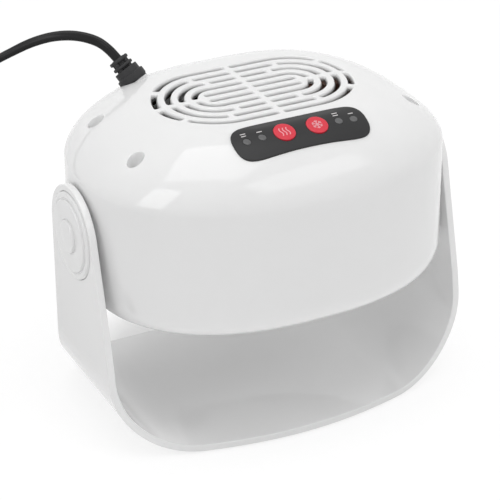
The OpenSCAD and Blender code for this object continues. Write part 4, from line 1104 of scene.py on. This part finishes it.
def make_leads():
    inside = boot_at - boot_dir*(BOOT_SINK + 7.2 + 1.2)
    for s, letter in ((-1, "a"), (1, "b")):
        level = RING_TOP + 2 + s*1.4
        route = [inside + (0, s*1.6, 0), inside + (2.5, s*1.4 - 2.5, s - 5), (-26, 45, level), (-10, 51, level),
                 (37, 40, level), (50 + s*2, 28, POWER_Z - 2.6), (50 + s*2, 26, POWER_Z - 0.6)]
        piece = tube(f"mains_lead_{letter}", spline(route, LEAD_STEPS), circle(0.8, 12), "head", lead_brown,
                     "lead_brown")
        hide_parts("mains_leads")
        route = [(8, s*3, MOTOR_TOP + 0.6), (10, s*3, MOTOR_TOP + 2.6), (18, s*2.6 + 1, MOTOR_TOP + 1),
                 (27, s*2.2 + 3, POWER_Z + 4.2), (32, s*2 + 4, POWER_Z + 2.2)]
        piece = tube(f"motor_lead_{letter}", spline(route, LEAD_STEPS), circle(0.6, 12), "head", lead_red,
                     "lead_red")
        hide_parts("motor_leads")


make_leads()


# ---- Floor, world and lamps, in metres ----

SEEN_BY = ("Is Camera Ray", "Is Glossy Ray", "Is Transmission Ray")
WHITE = (1, 1, 1, 1)
FLOOR_COLOUR = (0.97, 0.97, 0.97, 1)
FLOOR_GLOW = 1.08
PAINTED_SHADE_SHIFT = (0, -0.8, 0)  # painted shade over the real shadow behind the head: an ellipse with its centre at y = 0.8/20, half 1/16 wide and 1/20 deep
PAINTED_SHADE_SCALE = (16, 20, 0)  # y = 0.8/20, half 1/16 wide and 1/20 deep
PAINTED_SHADE_REACH = {"From Min": 0.75, "From Max": 1.25, "To Min": 0.02, "To Max": 0.7}
WORLD_LIGHT = 0.6
AIM = (0, 0, 0.1)


def new_tree(owner):
    """Functions that add a node to the emptied tree of a material or world, and that link two sockets."""
    owner.use_nodes = True
    owner.node_tree.nodes.clear()

    def add(kind, values=()):
        node = owner.node_tree.nodes.new("ShaderNode" + kind)
        for name, value in dict(values).items():
            node.inputs[name].default_value = value
        return node
    return add, owner.node_tree.links.new


def seen_ray(add, link):
    """1 for a ray from the camera, and for one that glass or a glossy surface sends on, else 0."""
    path = add("LightPath")
    found = path.outputs[SEEN_BY[0]]
    for name in SEEN_BY[1:]:
        either = add("Math")
        either.operation = "MAXIMUM"
        link(found, either.inputs[0])
        link(path.outputs[name], either.inputs[1])
        found = either.outputs[0]
    return found


def mix_shaders(add, link, share, first, second, out):
    mix = add("MixShader")
    link(share, mix.inputs[0])
    link(first.outputs[0], mix.inputs[1])
    link(second.outputs[0], mix.inputs[2])
    link(mix.outputs[0], add(out).inputs[0])


def make_floor():
    """A white floor that glows where it is seen, but little in an ellipse under the back of the head: painted shade
    there, over its real shadow.
    """
    mesh = bpy.data.meshes.new("floor")
    half = 4.0
    mesh.from_pydata([(-half, -half, 0), (half, -half, 0), (half, half, 0), (-half, half, 0)], [], [(0, 1, 2, 3)])
    floor = bpy.data.objects.new("floor", mesh)
    show(floor)
    white = bpy.data.materials.new("floor_white")
    add, link = new_tree(white)
    shift = add("Mapping", {"Location": PAINTED_SHADE_SHIFT, "Scale": PAINTED_SHADE_SCALE})
    reach = add("VectorMath")
    reach.operation = "LENGTH"
    # painted shade: the floor's glow is cut back inside the ellipse behind the head
    shade = add("MapRange", PAINTED_SHADE_REACH)
    shade.interpolation_type = "SMOOTHSTEP"
    share = add("Math")
    share.operation = "MULTIPLY"
    link(add("TexCoord").outputs["Object"], shift.inputs["Vector"])
    link(shift.outputs["Vector"], reach.inputs[0])
    link(reach.outputs["Value"], shade.inputs["Value"])
    link(seen_ray(add, link), share.inputs[0])
    link(shade.outputs["Result"], share.inputs[1])
    mix_shaders(add, link, share.outputs[0], add("BsdfDiffuse", {"Color": FLOOR_COLOUR}),
                add("Emission", {"Color": WHITE, "Strength": FLOOR_GLOW}), "OutputMaterial")
    mesh.materials.append(white)


def make_world():
    world = bpy.data.worlds.new("studio")
    bpy.context.scene.world = world
    add, link = new_tree(world)
    mix_shaders(add, link, seen_ray(add, link), add("Background", {"Color": WHITE, "Strength": WORLD_LIGHT}),
                add("Background", {"Color": WHITE, "Strength": 1.0}), "OutputWorld")


def add_softbox(name, place, size, power, lights=True, shines=True):
    """A soft lamp, which lights the pieces, or shines as a bright patch on the glossy ones, or both."""
    data = bpy.data.lights.new(name, "AREA")
    data.shape = "RECTANGLE"
    data.size, data.size_y = size
    data.energy = power
    lamp = bpy.data.objects.new(name, data)
    lamp.location = place
    lamp.rotation_mode = "QUATERNION"
    lamp.rotation_quaternion = (Vector(AIM) - Vector(place)).to_track_quat("-Z", "Y")
    lamp.visible_diffuse, lamp.visible_glossy = lights, shines
    show(lamp)


make_floor()
make_world()
add_softbox("softbox_top", (-0.05, -0.05, 1.45), (1.2, 1.0), 6.5)
add_softbox("softbox_front", (0.55, -1.0, 1.2), (0.9, 0.5), 1.9)
add_softbox("softbox_left", (-1.36, -0.22, 1.13), (0.7, 0.6), 2.4, shines=False)
add_softbox("softbox_shine", (-1.5, -0.5, 1.02), (0.8, 1.5), 9.0, lights=False)
